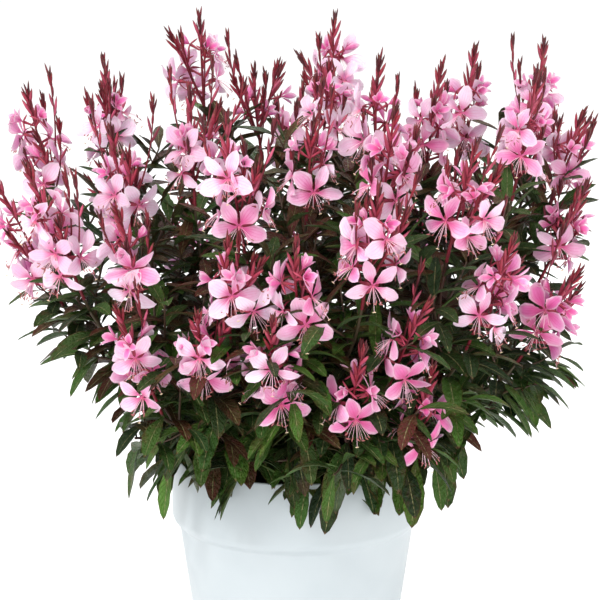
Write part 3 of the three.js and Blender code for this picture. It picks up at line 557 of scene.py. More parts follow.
class Skins:
    """The skins of one piece, in millimetres, with a material slot and the two attributes."""

    def __init__(self, *materials):
        self.materials = materials
        self.points, self.places, self.tones = [], [], []
        self.faces, self.slots = [], []
        self.count = 0

    def add(self, points, places, tone, faces, material):
        self.points.append(points)
        self.places.append(places)
        self.tones.append(np.tile(tone, (len(points), 1)))
        slot = self.materials.index(material)
        for corners in faces:
            self.faces += (corners + self.count).tolist()
            self.slots += [slot] * len(corners)
        self.count += len(points)

    def make(self, name, node):
        """Turns the skins into one object that stands for a node of the frame."""
        mesh = bpy.data.meshes.new(name)
        mesh.from_pydata((np.concatenate(self.points) * MM).tolist(), [], self.faces)
        for title, rows in (("place", self.places), ("tone", self.tones)):
            layer = mesh.attributes.new(title, "FLOAT_VECTOR", "POINT")
            layer.data.foreach_set("vector", np.concatenate(rows).astype(np.float32).ravel())
        for material in self.materials:
            mesh.materials.append(material)
        mesh.polygons.foreach_set("material_index", self.slots)
        mesh.shade_smooth()
        mesh.set_sharp_from_angle(angle=SHARP_ANGLE)
        piece = bpy.data.objects.new(name, mesh)
        bpy.context.collection.objects.link(piece)
        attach(piece, "root")
        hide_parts(node)
        return piece


print("a piece keeps its skins as arrays until it is made")

# %% [markdown]
# ## Blades and rods
# Leaves, petals and sepals are all blades: rows of points along a midrib, spread across it, with a
# lift for each point that folds, cups or waves the blade. Stems, tubes, filaments and buds are
# rods: rings round a line, whose radii may swell and taper.

# %% Blades
THIN_ENDS = (0.06, 0.94)


@functools.cache
def blade_faces(rows, columns):
    """Corners of the upper grid and of the lower grid, which share the blade's rim."""
    upper = np.arange(rows * columns).reshape(rows, columns)
    lower = upper.copy()
    inner = (rows - 2) * (columns - 2)
    lower[1:-1, 1:-1] = rows * columns + np.arange(inner).reshape(rows - 2, columns - 2)

    def quads(grid, order):
        corners = (grid[:-1, :-1], grid[:-1, 1:], grid[1:, 1:], grid[1:, :-1])
        return np.stack([corners[i].ravel() for i in order], axis=1)

    return quads(upper, (0, 1, 2, 3)), quads(lower, (0, 3, 2, 1))


def add_blade(skins, middle, wide, normal, half, lift, thick, tone, material):
    """middle, wide and normal have a row for each station, and lift a column for each place across."""
    rows, columns = lift.shape
    along = np.linspace(0, 1, rows)
    across = np.linspace(-1, 1, columns)
    upper = middle[:, None] + wide[:, None] * (half[:, None] * across)[..., None]
    upper = upper + normal[:, None] * lift[..., None]
    depth = thick * np.outer(np.sin(np.pi * np.clip(along, *THIN_ENDS)), 1 - across ** 2)
    lower = (upper - normal[:, None] * depth[..., None])[1:-1, 1:-1]
    places = np.zeros((rows, columns, 3))
    places[..., 0] = along[:, None]
    places[..., 1] = across
    under = places[1:-1, 1:-1].copy()
    under[..., 2] = 1
    points = np.concatenate([upper.reshape(-1, 3), lower.reshape(-1, 3)])
    both = np.concatenate([places.reshape(-1, 3), under.reshape(-1, 3)])
    skins.add(points, both, tone, blade_faces(rows, columns), material)


print("faces of a small blade:", sum(len(corners) for corners in blade_faces(5, 5)))


# %% Rods
ASKEW = 0.01


def unit(way):
    return way / math.sqrt(way.dot(way))


def square_to(way, axis):
    return unit(way - axis * way.dot(axis))


def cross(one, other):
    return np.array([
        one[1] * other[2] - one[2] * other[1],
        one[2] * other[0] - one[0] * other[2],
        one[0] * other[1] - one[1] * other[0]])


@functools.cache
def rod_faces(rings, sides):
    """Corners of the sides between rings, and of the fans from the two hubs, which come last."""
    grid = np.arange(rings * sides).reshape(rings, sides)
    turned_on = np.roll(grid, -1, axis=1)
    corners = (grid[:-1], turned_on[:-1], turned_on[1:], grid[1:])
    walls = np.stack([each.ravel() for each in corners], axis=1)
    foot, head = rings * sides, rings * sides + 1
    first = np.stack([turned_on[0], grid[0], np.full(sides, foot)], axis=1)
    last = np.stack([grid[-1], turned_on[-1], np.full(sides, head)], axis=1)
    return walls, first, last


def add_rod(skins, line, radii, sides, tone, material, reference=UP):
    """A rod along a line of points, closed at both ends; the reference is set a little askew of it."""
    line = np.asarray(line)
    ways = np.gradient(line, axis=0)
    side = square_to(reference + ASKEW * ways[0][::-1], unit(ways[0]))
    angles = 2 * np.pi * np.arange(sides) / sides
    rings = []
    for point, way, radius in zip(line, ways, radii):
        way = unit(way)
        side = square_to(side, way)
        other = cross(way, side)
        rings.append(point + radius * (np.outer(np.cos(angles), side) + np.outer(np.sin(angles), other)))
    points = np.concatenate(rings + [line[:1], line[-1:]])
    places = np.zeros((len(points), 3))
    places[:-2, 0] = np.repeat(np.linspace(0, 1, len(line)), sides)
    places[:-2, 1] = np.tile(np.linspace(-1, 1, sides), len(line))
    places[-1, 0] = 1
    skins.add(points, places, tone, rod_faces(len(line), sides), material)


print("faces of a small rod:", sum(len(corners) for corners in rod_faces(5, 5)))

# %% [markdown]
# ## The plant's measures
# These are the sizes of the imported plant: where each leafy stem stands, the flower sprays that it
# carries, and the sizes of stems, wands, blooms and leaves. Each spray has the middle of its
# blooms, how many blooms it holds, and how many wands rise in it.

# %% Stems and sprays
STEMS = {
    "front_left": (-42, 33, [
        ((-57, -135, 252), 4, 2), ((-94, -118, 234), 5, 1), ((-100, -110, 300), 4, 1)]),
    "front": (-8, 34, [
        ((1, -160, 289), 4, 1), ((-12, -145, 236), 5, 1), ((-42, -145, 291), 4, 2)]),
    "front_right": (24, 33, [
        ((64, -140, 251), 4, 1), ((35, -147, 227), 3, 1), ((76, -118, 202), 4, 1)]),
    "right_front": (52, 33, [((117, -120, 278), 6, 2), ((99, -130, 338), 5, 2)]),
    "right": (84, 34, [
        ((158, -65, 254), 4, 1), ((172, -35, 304), 3, 2), ((176, 8, 243), 0, 2)]),
    "left_front": (-72, 32, [((-146, -84, 304), 7, 2), ((-110, -50, 332), 5, 2)]),
    "left": (-100, 34, [((-167, -32, 288), 7, 2), ((-166, 20, 338), 7, 2)]),
    "back_left": (-136, 33, [((-122, 104, 300), 3, 2), ((-76, 138, 270), 3, 1)]),
    "back_right": (130, 33, [((128, 98, 300), 3, 2), ((84, 138, 266), 3, 1)]),
    "back": (176, 33, [((4, 152, 282), 3, 1), ((0, 118, 346), 3, 2)]),
    "mid_front": (-4, 19, [((44, -155, 313), 6, 2), ((-36, -125, 343), 6, 2)]),
    "mid_left": (-62, 20, [((-67, -40, 360), 4, 2), ((-127, 60, 359), 5, 3)]),
    "mid_back_left": (-128, 19, [((-64, 60, 398), 5, 2), ((-27, 40, 378), 0, 3)]),
    "middle": (10, 6, [((8, -85, 356), 3, 1), ((19, -20, 386), 3, 1)]),
    "mid_back": (176, 18, [((27, 62, 381), 7, 2)]),
    "mid_right_front": (44, 20, [((55, -122, 358), 5, 2), ((51, -55, 376), 4, 1)]),
    "mid_back_right": (128, 20, [((112, 34, 365), 6, 2), ((88, -8, 366), 4, 1)]),
    "mid_right": (88, 21, [
        ((146, -45, 364), 5, 2), ((160, 30, 370), 6, 2), ((177, 5, 346), 4, 2)]),
}
OUTER_FOOT = 30
WIDEST_FOOT = 34
SOIL_CROWN = 146
GAP = 0.35
print("stems:", len(STEMS), "sprays:", sum(len(sprays) for *_, sprays in STEMS.values()))

# %% Stem, wand and bloom sizes
STEM = Made(foot=2.4, branch=1.6, top=1.3, first_pull=0.36, last_pull=0.3, lean=0.35, outer_lean=0.3)
STEM_STEPS = {"main": 6, "branch": 4, "shoot": 3}
SWAYS = (0, 8, -8, 16, -16, 25, -25, 36, -36)
BRANCHING = Made(first=0.5, step=0.14)
SHOOT = Made(leaves=0.07, reach=112, height=170, swing=24, rise=0.1)
SPRAY = Made(below=30, lean=0.75, widest=190, upright=420, upright_span=170, least_lean=0.15,
             lean_jitter=0.08, side_jitter=0.12)
WAND = Made(base=1.4, tip=1.1, first_bloom=19, bloom_step=8, tall=380, rows=3, low_rows=4,
            curl_out=3, curl_aside=4)
SIDE_WAND = Made(leaves=8, leaves_step=6, spread=0.42, spread_jitter=0.1, tilt_jitter=0.22,
                 first_bloom=18, stalk=24, blooms_above=3, bloom_share=4)
BUD = Made(step=8.5, step_jitter=0.15, low=15, high=8, stand=1.2, splay=0.28)
BLOOM = Made(fan_jitter=14, nod=0.25, size_jitter=0.08, cup=0.12, cup_jitter=0.16, roll=0.25,
             petal_turn=8, petal_lift=0.14, face_out=0.45, face_up=0.12)
PETAL_SIZE = Made(length=17.2, width=9.4, widest=0.6, cupped=0.5)
PETAL_ANGLES = (-108, -37, 37, 108)
TUBE = Made(length=10, foot=0.65, rise=0.5)
BLOOM_FAN = (12, -62, 74, -122, 128, 4, -80)
print("petal length:", PETAL_SIZE.length)

# %% Kinds of leaf
KIND_KEYS = ("length", "width", "raised", "droop", "outwards")
STALKED = ((0.4, 0.3), (0.72, 1))
LONG = ((0.3, 0.62), (0.62, 1))
LEAF_KINDS = {
    "basal": Made(length=58, width=14.5, raised=0.55, droop=1.35, outwards=0.6, stations=STALKED),
    "hanging": Made(length=42, width=13.5, raised=0.2, droop=1.25, outwards=0.5, stations=LONG),
    "low": Made(length=47, width=14, raised=0.35, droop=1.15, outwards=0.45, stations=LONG),
    "high": Made(length=38, width=11, raised=0.85, droop=0.5, outwards=0.45, stations=((0.55, 1),)),
}
LEAF_FOLD = 0.22
LEAF_HEIGHTS = Made(low=165, high=330, tapered_from=0.3)
LEAF_JITTER = Made(size=0.12, raised=0.2, droop=0.2, roll=0.45, wave=0.9)
LEAF_BEND = Made(along_stem=0.15, knee=0.45, beyond_knee=0.55)
FACE_PULL = 0.36
print("kinds of leaf:", list(LEAF_KINDS))

# %% Where the solids' leaves stand
LEAF_PLANS = {
    "shoot": Made(low=0.42, high=0.98, count=5, first_turn=40, kind="hanging"),
    "branch": Made(low=0.5, high=0.9, count=2, first_turn=90, kind=None),
    "main": Made(low=0.18, high=0.95, count=7, first_turn=0, kind=None),
    "inner": Made(low=0.14, high=0.95, count=5, first_turn=0, kind=None),
}
BASAL_PLACES = [(0.09, -48, "basal"), (0.12, 48, "basal")]
TURN_JITTER = 20
print("leaves planned on an outer stem:", LEAF_PLANS["main"].count + len(BASAL_PLACES))

# %% [markdown]
# ## Growing the same plant
# The solids were placed by seeded draws: a draw gives the same numbers each time it is started
# with the same seed. So the plant can be grown again here. Where a solid would have touched a
# neighbour, the rule had moved it a little, by the first of a list of tries that kept clear. Here
# each try is set against the corners of the node's own mesh, and the one that is found there is
# the one that was used.

# %% Draws and directions
WORD = 0xFFFFFFFF
STRIDE = 0x6D2B79F5
SEEDS = Made(spray=1000, spray_stem=17, spray_next=5, leaves=7000, leaves_stem=31, soil=5,
             foliage=9000, filling=9500, flowers=12000)


def seeded_draw(seed):
    """Numbers from 0 to 1 that are the same each time for the same seed."""
    state = seed

    def draw():
        nonlocal state
        state = (state + STRIDE) & WORD
        mixed = ((state ^ (state >> 15)) * (1 | state)) & WORD
        mixed = ((mixed + (((mixed ^ (mixed >> 7)) * (61 | mixed)) & WORD)) & WORD) ^ mixed
        return ((mixed ^ (mixed >> 14)) & WORD) / (WORD + 1)

    return draw


def jitter(draw, size):
    return (draw() * 2 - 1) * size


def mix(low, high, share):
    return low + (high - low) * share


def turned(first, second, angle):
    return first * math.cos(angle) + second * math.sin(angle)


def outward_at(bearing):
    return np.array([math.sin(math.radians(bearing)), -math.cos(math.radians(bearing)), 0.0])


def corners_of(node):
    """The corners of a node's mesh, in millimetres."""
    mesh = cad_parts[node].data
    flat = np.empty(3 * len(mesh.vertices))
    mesh.vertices.foreach_get("co", flat)
    return flat.reshape(-1, 3) / MM


def count_found(points, corners):
    """How many of the points are corners, to within a small tolerance."""
    tolerance = 0.03
    return sum(np.abs(corners - point).max(axis=1).min() < tolerance for point in points)


print("first draw of the first spray:", round(seeded_draw(SEEDS.spray)(), 4))


# %% Curves
def bezier(controls, t):
    """A point on a curve with three or four control points."""
    points = list(controls)
    while len(points) > 1:
        points = [one * (1 - t) + other * t for one, other in zip(points, points[1:])]
    return points[0]


def bezier_way(controls, t):
    """The way that a curve runs at one place."""
    small = 0.0001
    ahead, behind = min(1, t + small), max(0, t - small)
    return unit(bezier(controls, ahead) - bezier(controls, behind))


def bezier_rows(controls, ts):
    """Points and ways for many places along a curve at once."""
    ts = np.asarray(ts)[:, None]
    points = [np.asarray(point)[None, :] for point in controls]
    while len(points) > 2:
        points = [one * (1 - ts) + other * ts for one, other in zip(points, points[1:])]
    ways = points[1] - points[0]
    return points[0] * (1 - ts) + points[1] * ts, ways / np.linalg.norm(ways, axis=1, keepdims=True)


def ring_round(centre, axis, reference, radius, sides=3):
    """The corners of a ring round an axis, as the solids' three-sided rods have them."""
    first = square_to(reference, axis)
    second = cross(axis, first)
    return [centre + turned(first, second, 2 * math.pi * i / sides) * radius for i in range(sides)]


print("curves are ready")


# %% Growing a spray's wands
def grow_spray(middle, blooms, wands, seed):
    """The wands of a spray, whose blooms have their middle at a given place."""
    draw = seeded_draw(seed)
    middle = np.array(middle, float)
    reach = math.hypot(middle[0], middle[1])
    outward = np.array([middle[0], middle[1], 0.0]) / reach
    sideways = cross(UP, outward)
    low = min(1, max(SPRAY.least_lean, (SPRAY.upright - middle[2]) / SPRAY.upright_span))
    lean = SPRAY.lean * (reach / SPRAY.widest) * low
    rise = UP + outward * (lean + jitter(draw, SPRAY.lean_jitter))
    rise = unit(rise + sideways * jitter(draw, SPRAY.side_jitter))
    base = middle - rise * SPRAY.below
    shares = wands > 1 and blooms > SIDE_WAND.blooms_above
    shared = blooms // SIDE_WAND.bloom_share if shares else 0
    grown = []
    for i in range(wands):
        main = i == 0
        hand = 1 if i % 2 else -1
        spread = 0 if main else hand * (SIDE_WAND.spread + jitter(draw, SIDE_WAND.spread_jitter))
        tilt = 0 if main else jitter(draw, SIDE_WAND.tilt_jitter)
        way = unit(rise + sideways * spread + outward * tilt)
        start = base if main else base + rise * (SIDE_WAND.leaves + SIDE_WAND.leaves_step * i)
        count = blooms - shared if main else shared * (i == 1)
        zone = WAND.bloom_step * (max(1, count) if main else count)
        stalk = (WAND.first_bloom if main else SIDE_WAND.stalk) + zone
        rows = WAND.low_rows if main and middle[2] < WAND.tall else WAND.rows
        curl = outward * jitter(draw, WAND.curl_out)
        curl = curl + sideways * jitter(draw, WAND.curl_aside)
        step = BUD.step * (1 + jitter(draw, BUD.step_jitter))
        grown.append(Made(main=main, start=start, way=way, sideways=sideways, outward=outward, stalk=stalk,
                          rows=rows, step=step, curl=curl, blooms=count, length=stalk + rows * step))
    return Made(base=base, rise=rise, outward=outward, sideways=sideways, wands=grown, draw=draw)


def wand_point(wand, far):
    """A point on a wand, which curls a little among its buds."""
    among_buds = max(0, far - wand.stalk) / (wand.rows * wand.step)
    return wand.start + wand.way * far + wand.curl * among_buds ** 2


def wand_ring(wand, far):
    radius = mix(WAND.base, WAND.tip, far / wand.length)
    return ring_round(wand_point(wand, far), wand.way, wand.sideways, radius)


def face_way(wand, side):
    """The way that one of a three-sided wand's faces looks."""
    first = square_to(wand.sideways, wand.way)
    return turned(first, cross(wand.way, first), (side + 0.5) / 3 * 2 * math.pi)


print("a wand's buds start above its stalk of", WAND.first_bloom, "mm and more")


# %% Growing a bloom
BLOOM_TURNS = (0, 18, -18, 36, -36, 56, -56, 80, -80, 105, -105, 135, -135, 170)
BLOOM_TRIES = [
    (turn, slide, reach, scale)
    for scale in (1, 0.92, 0.84, 0.76) for reach in (0, 4) for slide in (0, 3, -3) for turn in BLOOM_TURNS]


def grow_bloom(wand, index, draw):
    """One bloom's own draws: where it stands on its wand, how it faces, and how its petals open."""
    start = WAND.first_bloom if wand.main else SIDE_WAND.first_bloom
    fan = BLOOM_FAN[index % len(BLOOM_FAN)] + jitter(draw, BLOOM.fan_jitter)
    nod, size = jitter(draw, BLOOM.nod), 1 + jitter(draw, BLOOM.size_jitter)
    cup, roll = BLOOM.cup + jitter(draw, BLOOM.cup_jitter), jitter(draw, BLOOM.roll)
    turns = [jitter(draw, BLOOM.petal_turn) for _ in PETAL_ANGLES]
    lifts = [jitter(draw, BLOOM.petal_lift) for _ in PETAL_ANGLES]
    return Made(wand=wand, far=start + WAND.bloom_step * index, fan=fan, nod=nod, size=size,
                cup=cup, roll=roll, turns=turns, lifts=lifts)


def set_bloom(bloom, turn, slide, reach, scale):
    """The foot, throat and directions of a bloom in one of its tries."""
    wand = bloom.wand
    angle = math.radians(bloom.fan + turn)
    outward = square_to(wand.outward, wand.way)
    away = turned(outward, cross(wand.way, outward), angle)
    tube_way = unit(away + wand.way * TUBE.rise)
    side = max(range(3), key=lambda each: round(face_way(wand, each).dot(away), 12))
    foot = np.zeros(3)
    for corner in (-120, 0, 120):
        ring = wand_ring(wand, bloom.far + slide + math.cos(math.radians(corner)) * TUBE.foot)
        one, other = ring[side], ring[(side + 1) % 3]
        span = other - one
        share = 0.5 + math.sin(math.radians(corner)) * TUBE.foot / math.sqrt(span.dot(span))
        foot += (one + span * share) / 3
    throat = foot + tube_way * (TUBE.length + reach)
    pull = BLOOM.face_out * max(0, math.cos(angle))
    face = unit(away + wand.outward * pull + UP * (BLOOM.face_up + bloom.nod))
    upright = square_to(UP, face)
    top = turned(upright, cross(upright, face), bloom.roll)
    return Made(foot=foot, throat=throat, tube_way=tube_way, face=face, top=top,
                right=cross(top, face), size=scale * bloom.size)


def petal_frame(bloom, pose, k):
    """A petal's directions: along it, across it, and its back, with its length and half width."""
    flat = turned(pose.top, pose.right, math.radians(PETAL_ANGLES[k] + bloom.turns[k]))
    along = turned(flat, pose.face, bloom.cup + bloom.lifts[k])
    wide = cross(flat, pose.face)
    return Made(along=along, wide=wide, back=cross(along, wide),
                length=PETAL_SIZE.length * pose.size, half=PETAL_SIZE.width * pose.size / 2)


def petal_tip(bloom, pose, k):
    petal = petal_frame(bloom, pose, k)
    return pose.throat + petal.along * petal.length + petal.back * PETAL_SIZE.cupped


def find_bloom(bloom, corners):
    """The pose in which the bloom's solid stands, or None where it was left out."""
    for attempt in BLOOM_TRIES:
        pose = set_bloom(bloom, *attempt)
        if count_found([petal_tip(bloom, pose, 0)], corners):
            if count_found([petal_tip(bloom, pose, k) for k in (1, 2, 3)], corners) == 3:
                return pose
    return None


print("tries for each bloom:", len(BLOOM_TRIES))


# %% Growing a stem's lines
def stem_curve(start, way, goal, sway):
    """A stem's curve from its start to just under its spray, bowed to one side by its sway."""
    end = goal.base - goal.rise * GAP
    far = math.dist(start, end)
    return [start, start + way * (far * STEM.first_pull) + goal.sideways * sway,
            end - goal.rise * (far * STEM.last_pull) + goal.sideways * sway, end]


def line_steps(curve, count):
    return [(bezier(curve, i / count), bezier_way(curve, i / count)) for i in range(count + 1)]


def point_on(line, t):
    """A point and way between the line's steps."""
    scaled = t * (len(line.steps) - 1)
    i = min(len(line.steps) - 2, int(scaled))
    (one, way), (other, next_way) = line.steps[i], line.steps[i + 1]
    return mix(one, other, scaled - i), unit(mix(way, next_way, scaled - i))


def find_line(role, goal, start_radius, start, way, corners):
    """The line of a stem whose rod has the most of its corners in the node's mesh."""
    def steps_found(sway):
        steps = line_steps(stem_curve(start, way, goal, sway), STEM_STEPS[role])
        last = len(steps) - 1
        rings = [
            point for i, (at, along) in enumerate(steps[1:], 1)
            for point in ring_round(at, along, goal.sideways, mix(start_radius, STEM.top, i / last))]
        return count_found(rings, corners)

    sway = max(SWAYS, key=steps_found)
    curve = stem_curve(start, way, goal, sway)
    return Made(role=role, curve=curve, steps=line_steps(curve, STEM_STEPS[role]), outward=goal.outward,
                sideways=goal.sideways, radius=start_radius)


def shoot_goal(bearing):
    """Where a low shoot ends, outside the pot's rim."""
    outward = outward_at(bearing + SHOOT.swing)
    base = UP * SHOOT.height + outward * SHOOT.reach
    return Made(base=base, rise=unit(outward + UP * SHOOT.rise), outward=outward, sideways=cross(UP, outward))


def find_lines(bearing, foot, sprays, corners):
    """A stem's main line to its first spray, a branch to each other spray, and its low shoot."""
    start = UP * (SOIL_CROWN - 1) + outward_at(bearing) * foot
    way = unit(UP + sprays[0].outward * (STEM.lean + STEM.outer_lean * foot / WIDEST_FOOT))
    main = find_line("main", sprays[0], STEM.foot, start, way, corners)
    lines = [main]
    for i, spray in enumerate(sprays[1:]):
        leaves = point_on(main, BRANCHING.first + BRANCHING.step * i)
        lines.append(find_line("branch", spray, STEM.branch, *leaves, corners))
    if foot > OUTER_FOOT:
        leaves = point_on(main, SHOOT.leaves)
        lines.append(find_line("shoot", shoot_goal(bearing), STEM.branch, *leaves, corners))
    return lines


print("sways tried for each line:", len(SWAYS))


# %% Growing a leaf
GOLDEN_ANGLE = 137.508
LEAF_TURNS = (0, 18, -18, 36, -36, 58, -58, 84, -84, 115, -115, 150, -150, 180)
LEAF_TRIES = [
    (turn, slide, scale)
    for scale in (1, 0.9, 0.8, 0.7) for slide in (0, 0.03, -0.03) for turn in LEAF_TURNS]


def kind_at(name, height):
    """A kind of leaf; without a name it is mixed from the low and high kinds by its height."""
    if name:
        return LEAF_KINDS[name]
    low, high = LEAF_KINDS["low"], LEAF_KINDS["high"]
    share = min(1, max(0, (height - LEAF_HEIGHTS.low) / (LEAF_HEIGHTS.high - LEAF_HEIGHTS.low)))
    mixed = {key: mix(getattr(low, key), getattr(high, key), share) for key in KIND_KEYS}
    return Made(stations=high.stations if share > LEAF_HEIGHTS.tapered_from else LONG, **mixed)


def grow_leaf(line, t, turn, name, draw):
    """One leaf's own draws: its size, how it is raised, bent and rolled, and the waves of its rim."""
    kind = kind_at(name, point_on(line, t)[0][2])
    size = 1 + jitter(draw, LEAF_JITTER.size)
    raised = kind.raised + jitter(draw, LEAF_JITTER.raised)
    droop = kind.droop * (1 + jitter(draw, LEAF_JITTER.droop))
    roll = jitter(draw, LEAF_JITTER.roll)
    wave = [jitter(draw, LEAF_JITTER.wave) for _ in range(4)]
    return Made(line=line, t=t, turn=turn, kind=kind, size=size, raised=raised, droop=droop,
                roll=roll, wave=wave)


def set_leaf(leaf, turn=0, slide=0, scale=1):
    """The curve of the leaf's midrib, the way across it, and its full width."""
    foot, way = point_on(leaf.line, min(1, max(0, leaf.t + slide)))
    first = square_to(leaf.line.outward, way)
    angle = math.radians(leaf.turn + turn)
    favoured = math.atan2(math.sin(angle), math.cos(angle) + leaf.kind.outwards)
    azimuth = favoured - FACE_PULL * math.sin(3 * (favoured - math.pi / 6))
    away = turned(first, cross(way, first), azimuth)
    start = unit(away + UP * leaf.raised + way * LEAF_BEND.along_stem)
    end = unit(start - UP * leaf.droop)
    length = leaf.kind.length * leaf.size * scale
    knee = foot + start * (length * LEAF_BEND.knee)
    level = unit(cross(start, UP))
    return Made(curve=[foot, knee, knee + end * (length * LEAF_BEND.beyond_knee)],
                wide=turned(level, cross(level, start), leaf.roll), width=leaf.kind.width * leaf.size * scale)


def leaf_marks(leaf, pose):
    """The corners by which a leaf's solid is known besides its tip: its two edges, where widest."""
    t, share = leaf.kind.stations[-1]
    i = len(leaf.kind.stations) - 1
    middle = bezier(pose.curve, t)
    normal = unit(cross(pose.wide, bezier_way(pose.curve, t)))
    half = pose.width * share / 2
    left = middle - pose.wide * half + normal * (half * LEAF_FOLD + leaf.wave[2 * i + 1] * share)
    right = middle + pose.wide * half + normal * (half * LEAF_FOLD + leaf.wave[2 * i] * share)
    return [left, right]


def find_leaf(leaf, corners):
    """The pose in which the leaf's solid lies, or None where it was left out."""
    for attempt in LEAF_TRIES:
        pose = set_leaf(leaf, *attempt)
        if count_found([pose.curve[-1]], corners) and count_found(leaf_marks(leaf, pose), corners) == 2:
            return pose
    return None


def leaf_places(line, outer, draw):
    """Where the solids' leaves stand along one line: how far along, the turn, and the kind."""
    outer_main = line.role == "main" and outer
    plan = LEAF_PLANS["inner" if line.role == "main" and not outer else line.role]
    places = []
    for k in range(plan.count):
        turn = plan.first_turn + k * GOLDEN_ANGLE + jitter(draw, TURN_JITTER)
        places.append((mix(plan.low, plan.high, k / (plan.count - 1)), turn, plan.kind))
    return places + BASAL_PLACES if outer_main else places


print("tries for each leaf:", len(LEAF_TRIES))


# %% Growing the whole plant
def grow_plant():
    """Every stem with the lines, leaves, wands and blooms that its solids really have."""
    plants = []
    for index, (name, (bearing, foot, spots)) in enumerate(STEMS.items()):
        sprays = []
        for i, (middle, blooms, wands) in enumerate(spots):
            seed = SEEDS.spray + index * SEEDS.spray_stem + i * SEEDS.spray_next
            spray = grow_spray(middle, blooms, wands, seed)
            spray.node = f"flower_spray_{name}_{i + 1}"
            corners = corners_of(spray.node)
            spray.wands = [
                wand for wand in spray.wands if count_found([wand_point(wand, wand.length)], corners)]
            spray.blooms = []
            for wand in spray.wands:
                for k in range(wand.blooms):
                    bloom = grow_bloom(wand, k, spray.draw)
                    pose = find_bloom(bloom, corners)
                    if pose:
                        spray.blooms.append((bloom, pose))
            sprays.append(spray)
        node = f"leafy_stem_{name}"
        corners = corners_of(node)
        lines = find_lines(bearing, foot, sprays, corners)
        draw = seeded_draw(SEEDS.leaves + index * SEEDS.leaves_stem)
        leaves = []
        for line in lines:
            for t, turn, kind in leaf_places(line, foot > OUTER_FOOT, draw):
                leaf = grow_leaf(line, t, turn, kind, draw)
                pose = find_leaf(leaf, corners)
                if pose:
                    leaves.append((leaf, pose))
        plants.append(Made(name=name, node=node, index=index, outer=foot > OUTER_FOOT, sprays=sprays,
                           lines=lines, leaves=leaves))
    return plants


plants = grow_plant()
print("blooms found:", sum(len(spray.blooms) for plant in plants for spray in plant.sprays))
print("leaves found:", sum(len(plant.leaves) for plant in plants))

# %% [markdown]
# ## The pot
# The pot is a moulded shell with a deep rim band, so that pots can be stacked and lifted, and its
# walls taper so that it leaves the mould. Its outline is a profile turned round the axis. The
# corners of a moulded pot are never sharp, so each corner of the profile becomes a small arc.

# %% Turning a profile
POT = Made(height=155, wall=2.6, floor_rise=3, rim=85, body_top=80, base=65, band=48, foot=6)
DRAIN = Made(count=6, radius=5, ring=42)
POT_SEGMENTS = 144
POT_CORNER = 1.3
BAND = Made(under=2, chamfer=1.4, shoulder=4.9, inner_rise=6.1, lip_in=0.4, lip_down=0.6)
CUTTER_REACH = 4


def rounded(profile, radius, steps=3):
    """The profile with its corners turned into arcs; its two ends stay."""
    points = [np.array(profile[0], float)]
    for before, corner, after in zip(profile, profile[1:], profile[2:]):
        corner = np.array(corner, float)
        back, on = np.array(before) - corner, np.array(after) - corner
        reach = min(radius, 0.4 * math.hypot(*back), 0.4 * math.hypot(*on))
        start, end = corner + back / math.hypot(*back) * reach, corner + on / math.hypot(*on) * reach
        points += [bezier([start, corner, end], i / steps) for i in range(steps + 1)]
    return points + [np.array(profile[-1], float)]


def turned_skin(profile, segments):
    """Points and faces of a profile turned round the axis, from the axis back to the axis."""
    angles = 2 * np.pi * np.arange(segments) / segments
    rings = [np.stack([r * np.cos(angles), r * np.sin(angles), np.full(segments, z)], axis=1)
             for r, z in profile[1:-1]]
    ends = np.array([[0, 0, profile[0][1]], [0, 0, profile[-1][1]]])
    return np.concatenate(rings + [ends]), rod_faces(len(rings), segments)


def pot_profile():
    """The pot's outline from the middle of its underside, round the rim, to the middle of its floor."""
    step = POT.height - POT.band
    top, floor = POT.height, POT.floor_rise
    inner_rim, inner_body = POT.rim - POT.wall, POT.body_top - POT.wall
    outside = [(0, floor), (POT.base - POT.foot - 2, floor), (POT.base - POT.foot, 0), (POT.base, 0),
               (POT.body_top, step - BAND.under), (POT.rim - BAND.chamfer, step + BAND.chamfer),
               (POT.rim, step + BAND.shoulder), (POT.rim, top),
               (inner_rim - BAND.lip_in, top - BAND.lip_down)]
    within = [(inner_rim, step + BAND.inner_rise), (inner_body, step),
              (POT.base - POT.wall, floor + POT.wall), (0, floor + POT.wall)]
    return rounded(outside + within, POT_CORNER)


def drain_cutter():
    """One mesh of upright rods that stand where the drain holes go."""
    cutter = Skins(POT_PLASTIC)
    for i in range(DRAIN.count):
        middle = outward_at((i + 0.5) * 360 / DRAIN.count) * DRAIN.ring
        line = [middle + UP * CUTTER_REACH * share for share in (-1, 1, 3)]
        add_rod(cutter, line, [DRAIN.radius] * 3, 24, (0, 0, 0), POT_PLASTIC, np.array([1.0, 0, 0]))
    mesh = bpy.data.meshes.new("drain_cutter")
    mesh.from_pydata((np.concatenate(cutter.points) * MM).tolist(), [], cutter.faces)
    holder = bpy.data.objects.new("drain_cutter", mesh)
    bpy.context.collection.objects.link(holder)
    return holder


def make_pot():
    """The moulded shell with its drain holes cut."""
    skins = Skins(POT_PLASTIC)
    points, faces = turned_skin(pot_profile(), POT_SEGMENTS)
    skins.add(points, np.zeros_like(points), (0, 0, 0), faces, POT_PLASTIC)
    piece = skins.make("moulded_pot", "pot")
    cutter = drain_cutter()
    cut = piece.modifiers.new("drains", "BOOLEAN")
    cut.operation = "DIFFERENCE"
    cut.object = cutter
    bpy.context.view_layer.objects.active = piece
    bpy.ops.object.modifier_apply(modifier=cut.name)
    bpy.data.objects.remove(cutter)
    return piece


moulded_pot = make_pot()
print("pot faces:", len(moulded_pot.data.polygons))

# %% [markdown]
# ## The soil
# Potting soil is a loose heap of crumbs and fibres. Its top is a fine grid that noise lifts into
# small hollows and lumps, and crumbs lie on it: little rough lumps, half sunk, with a few pale
# grains among them. The sides and bottom lie against the pot, where nobody looks.

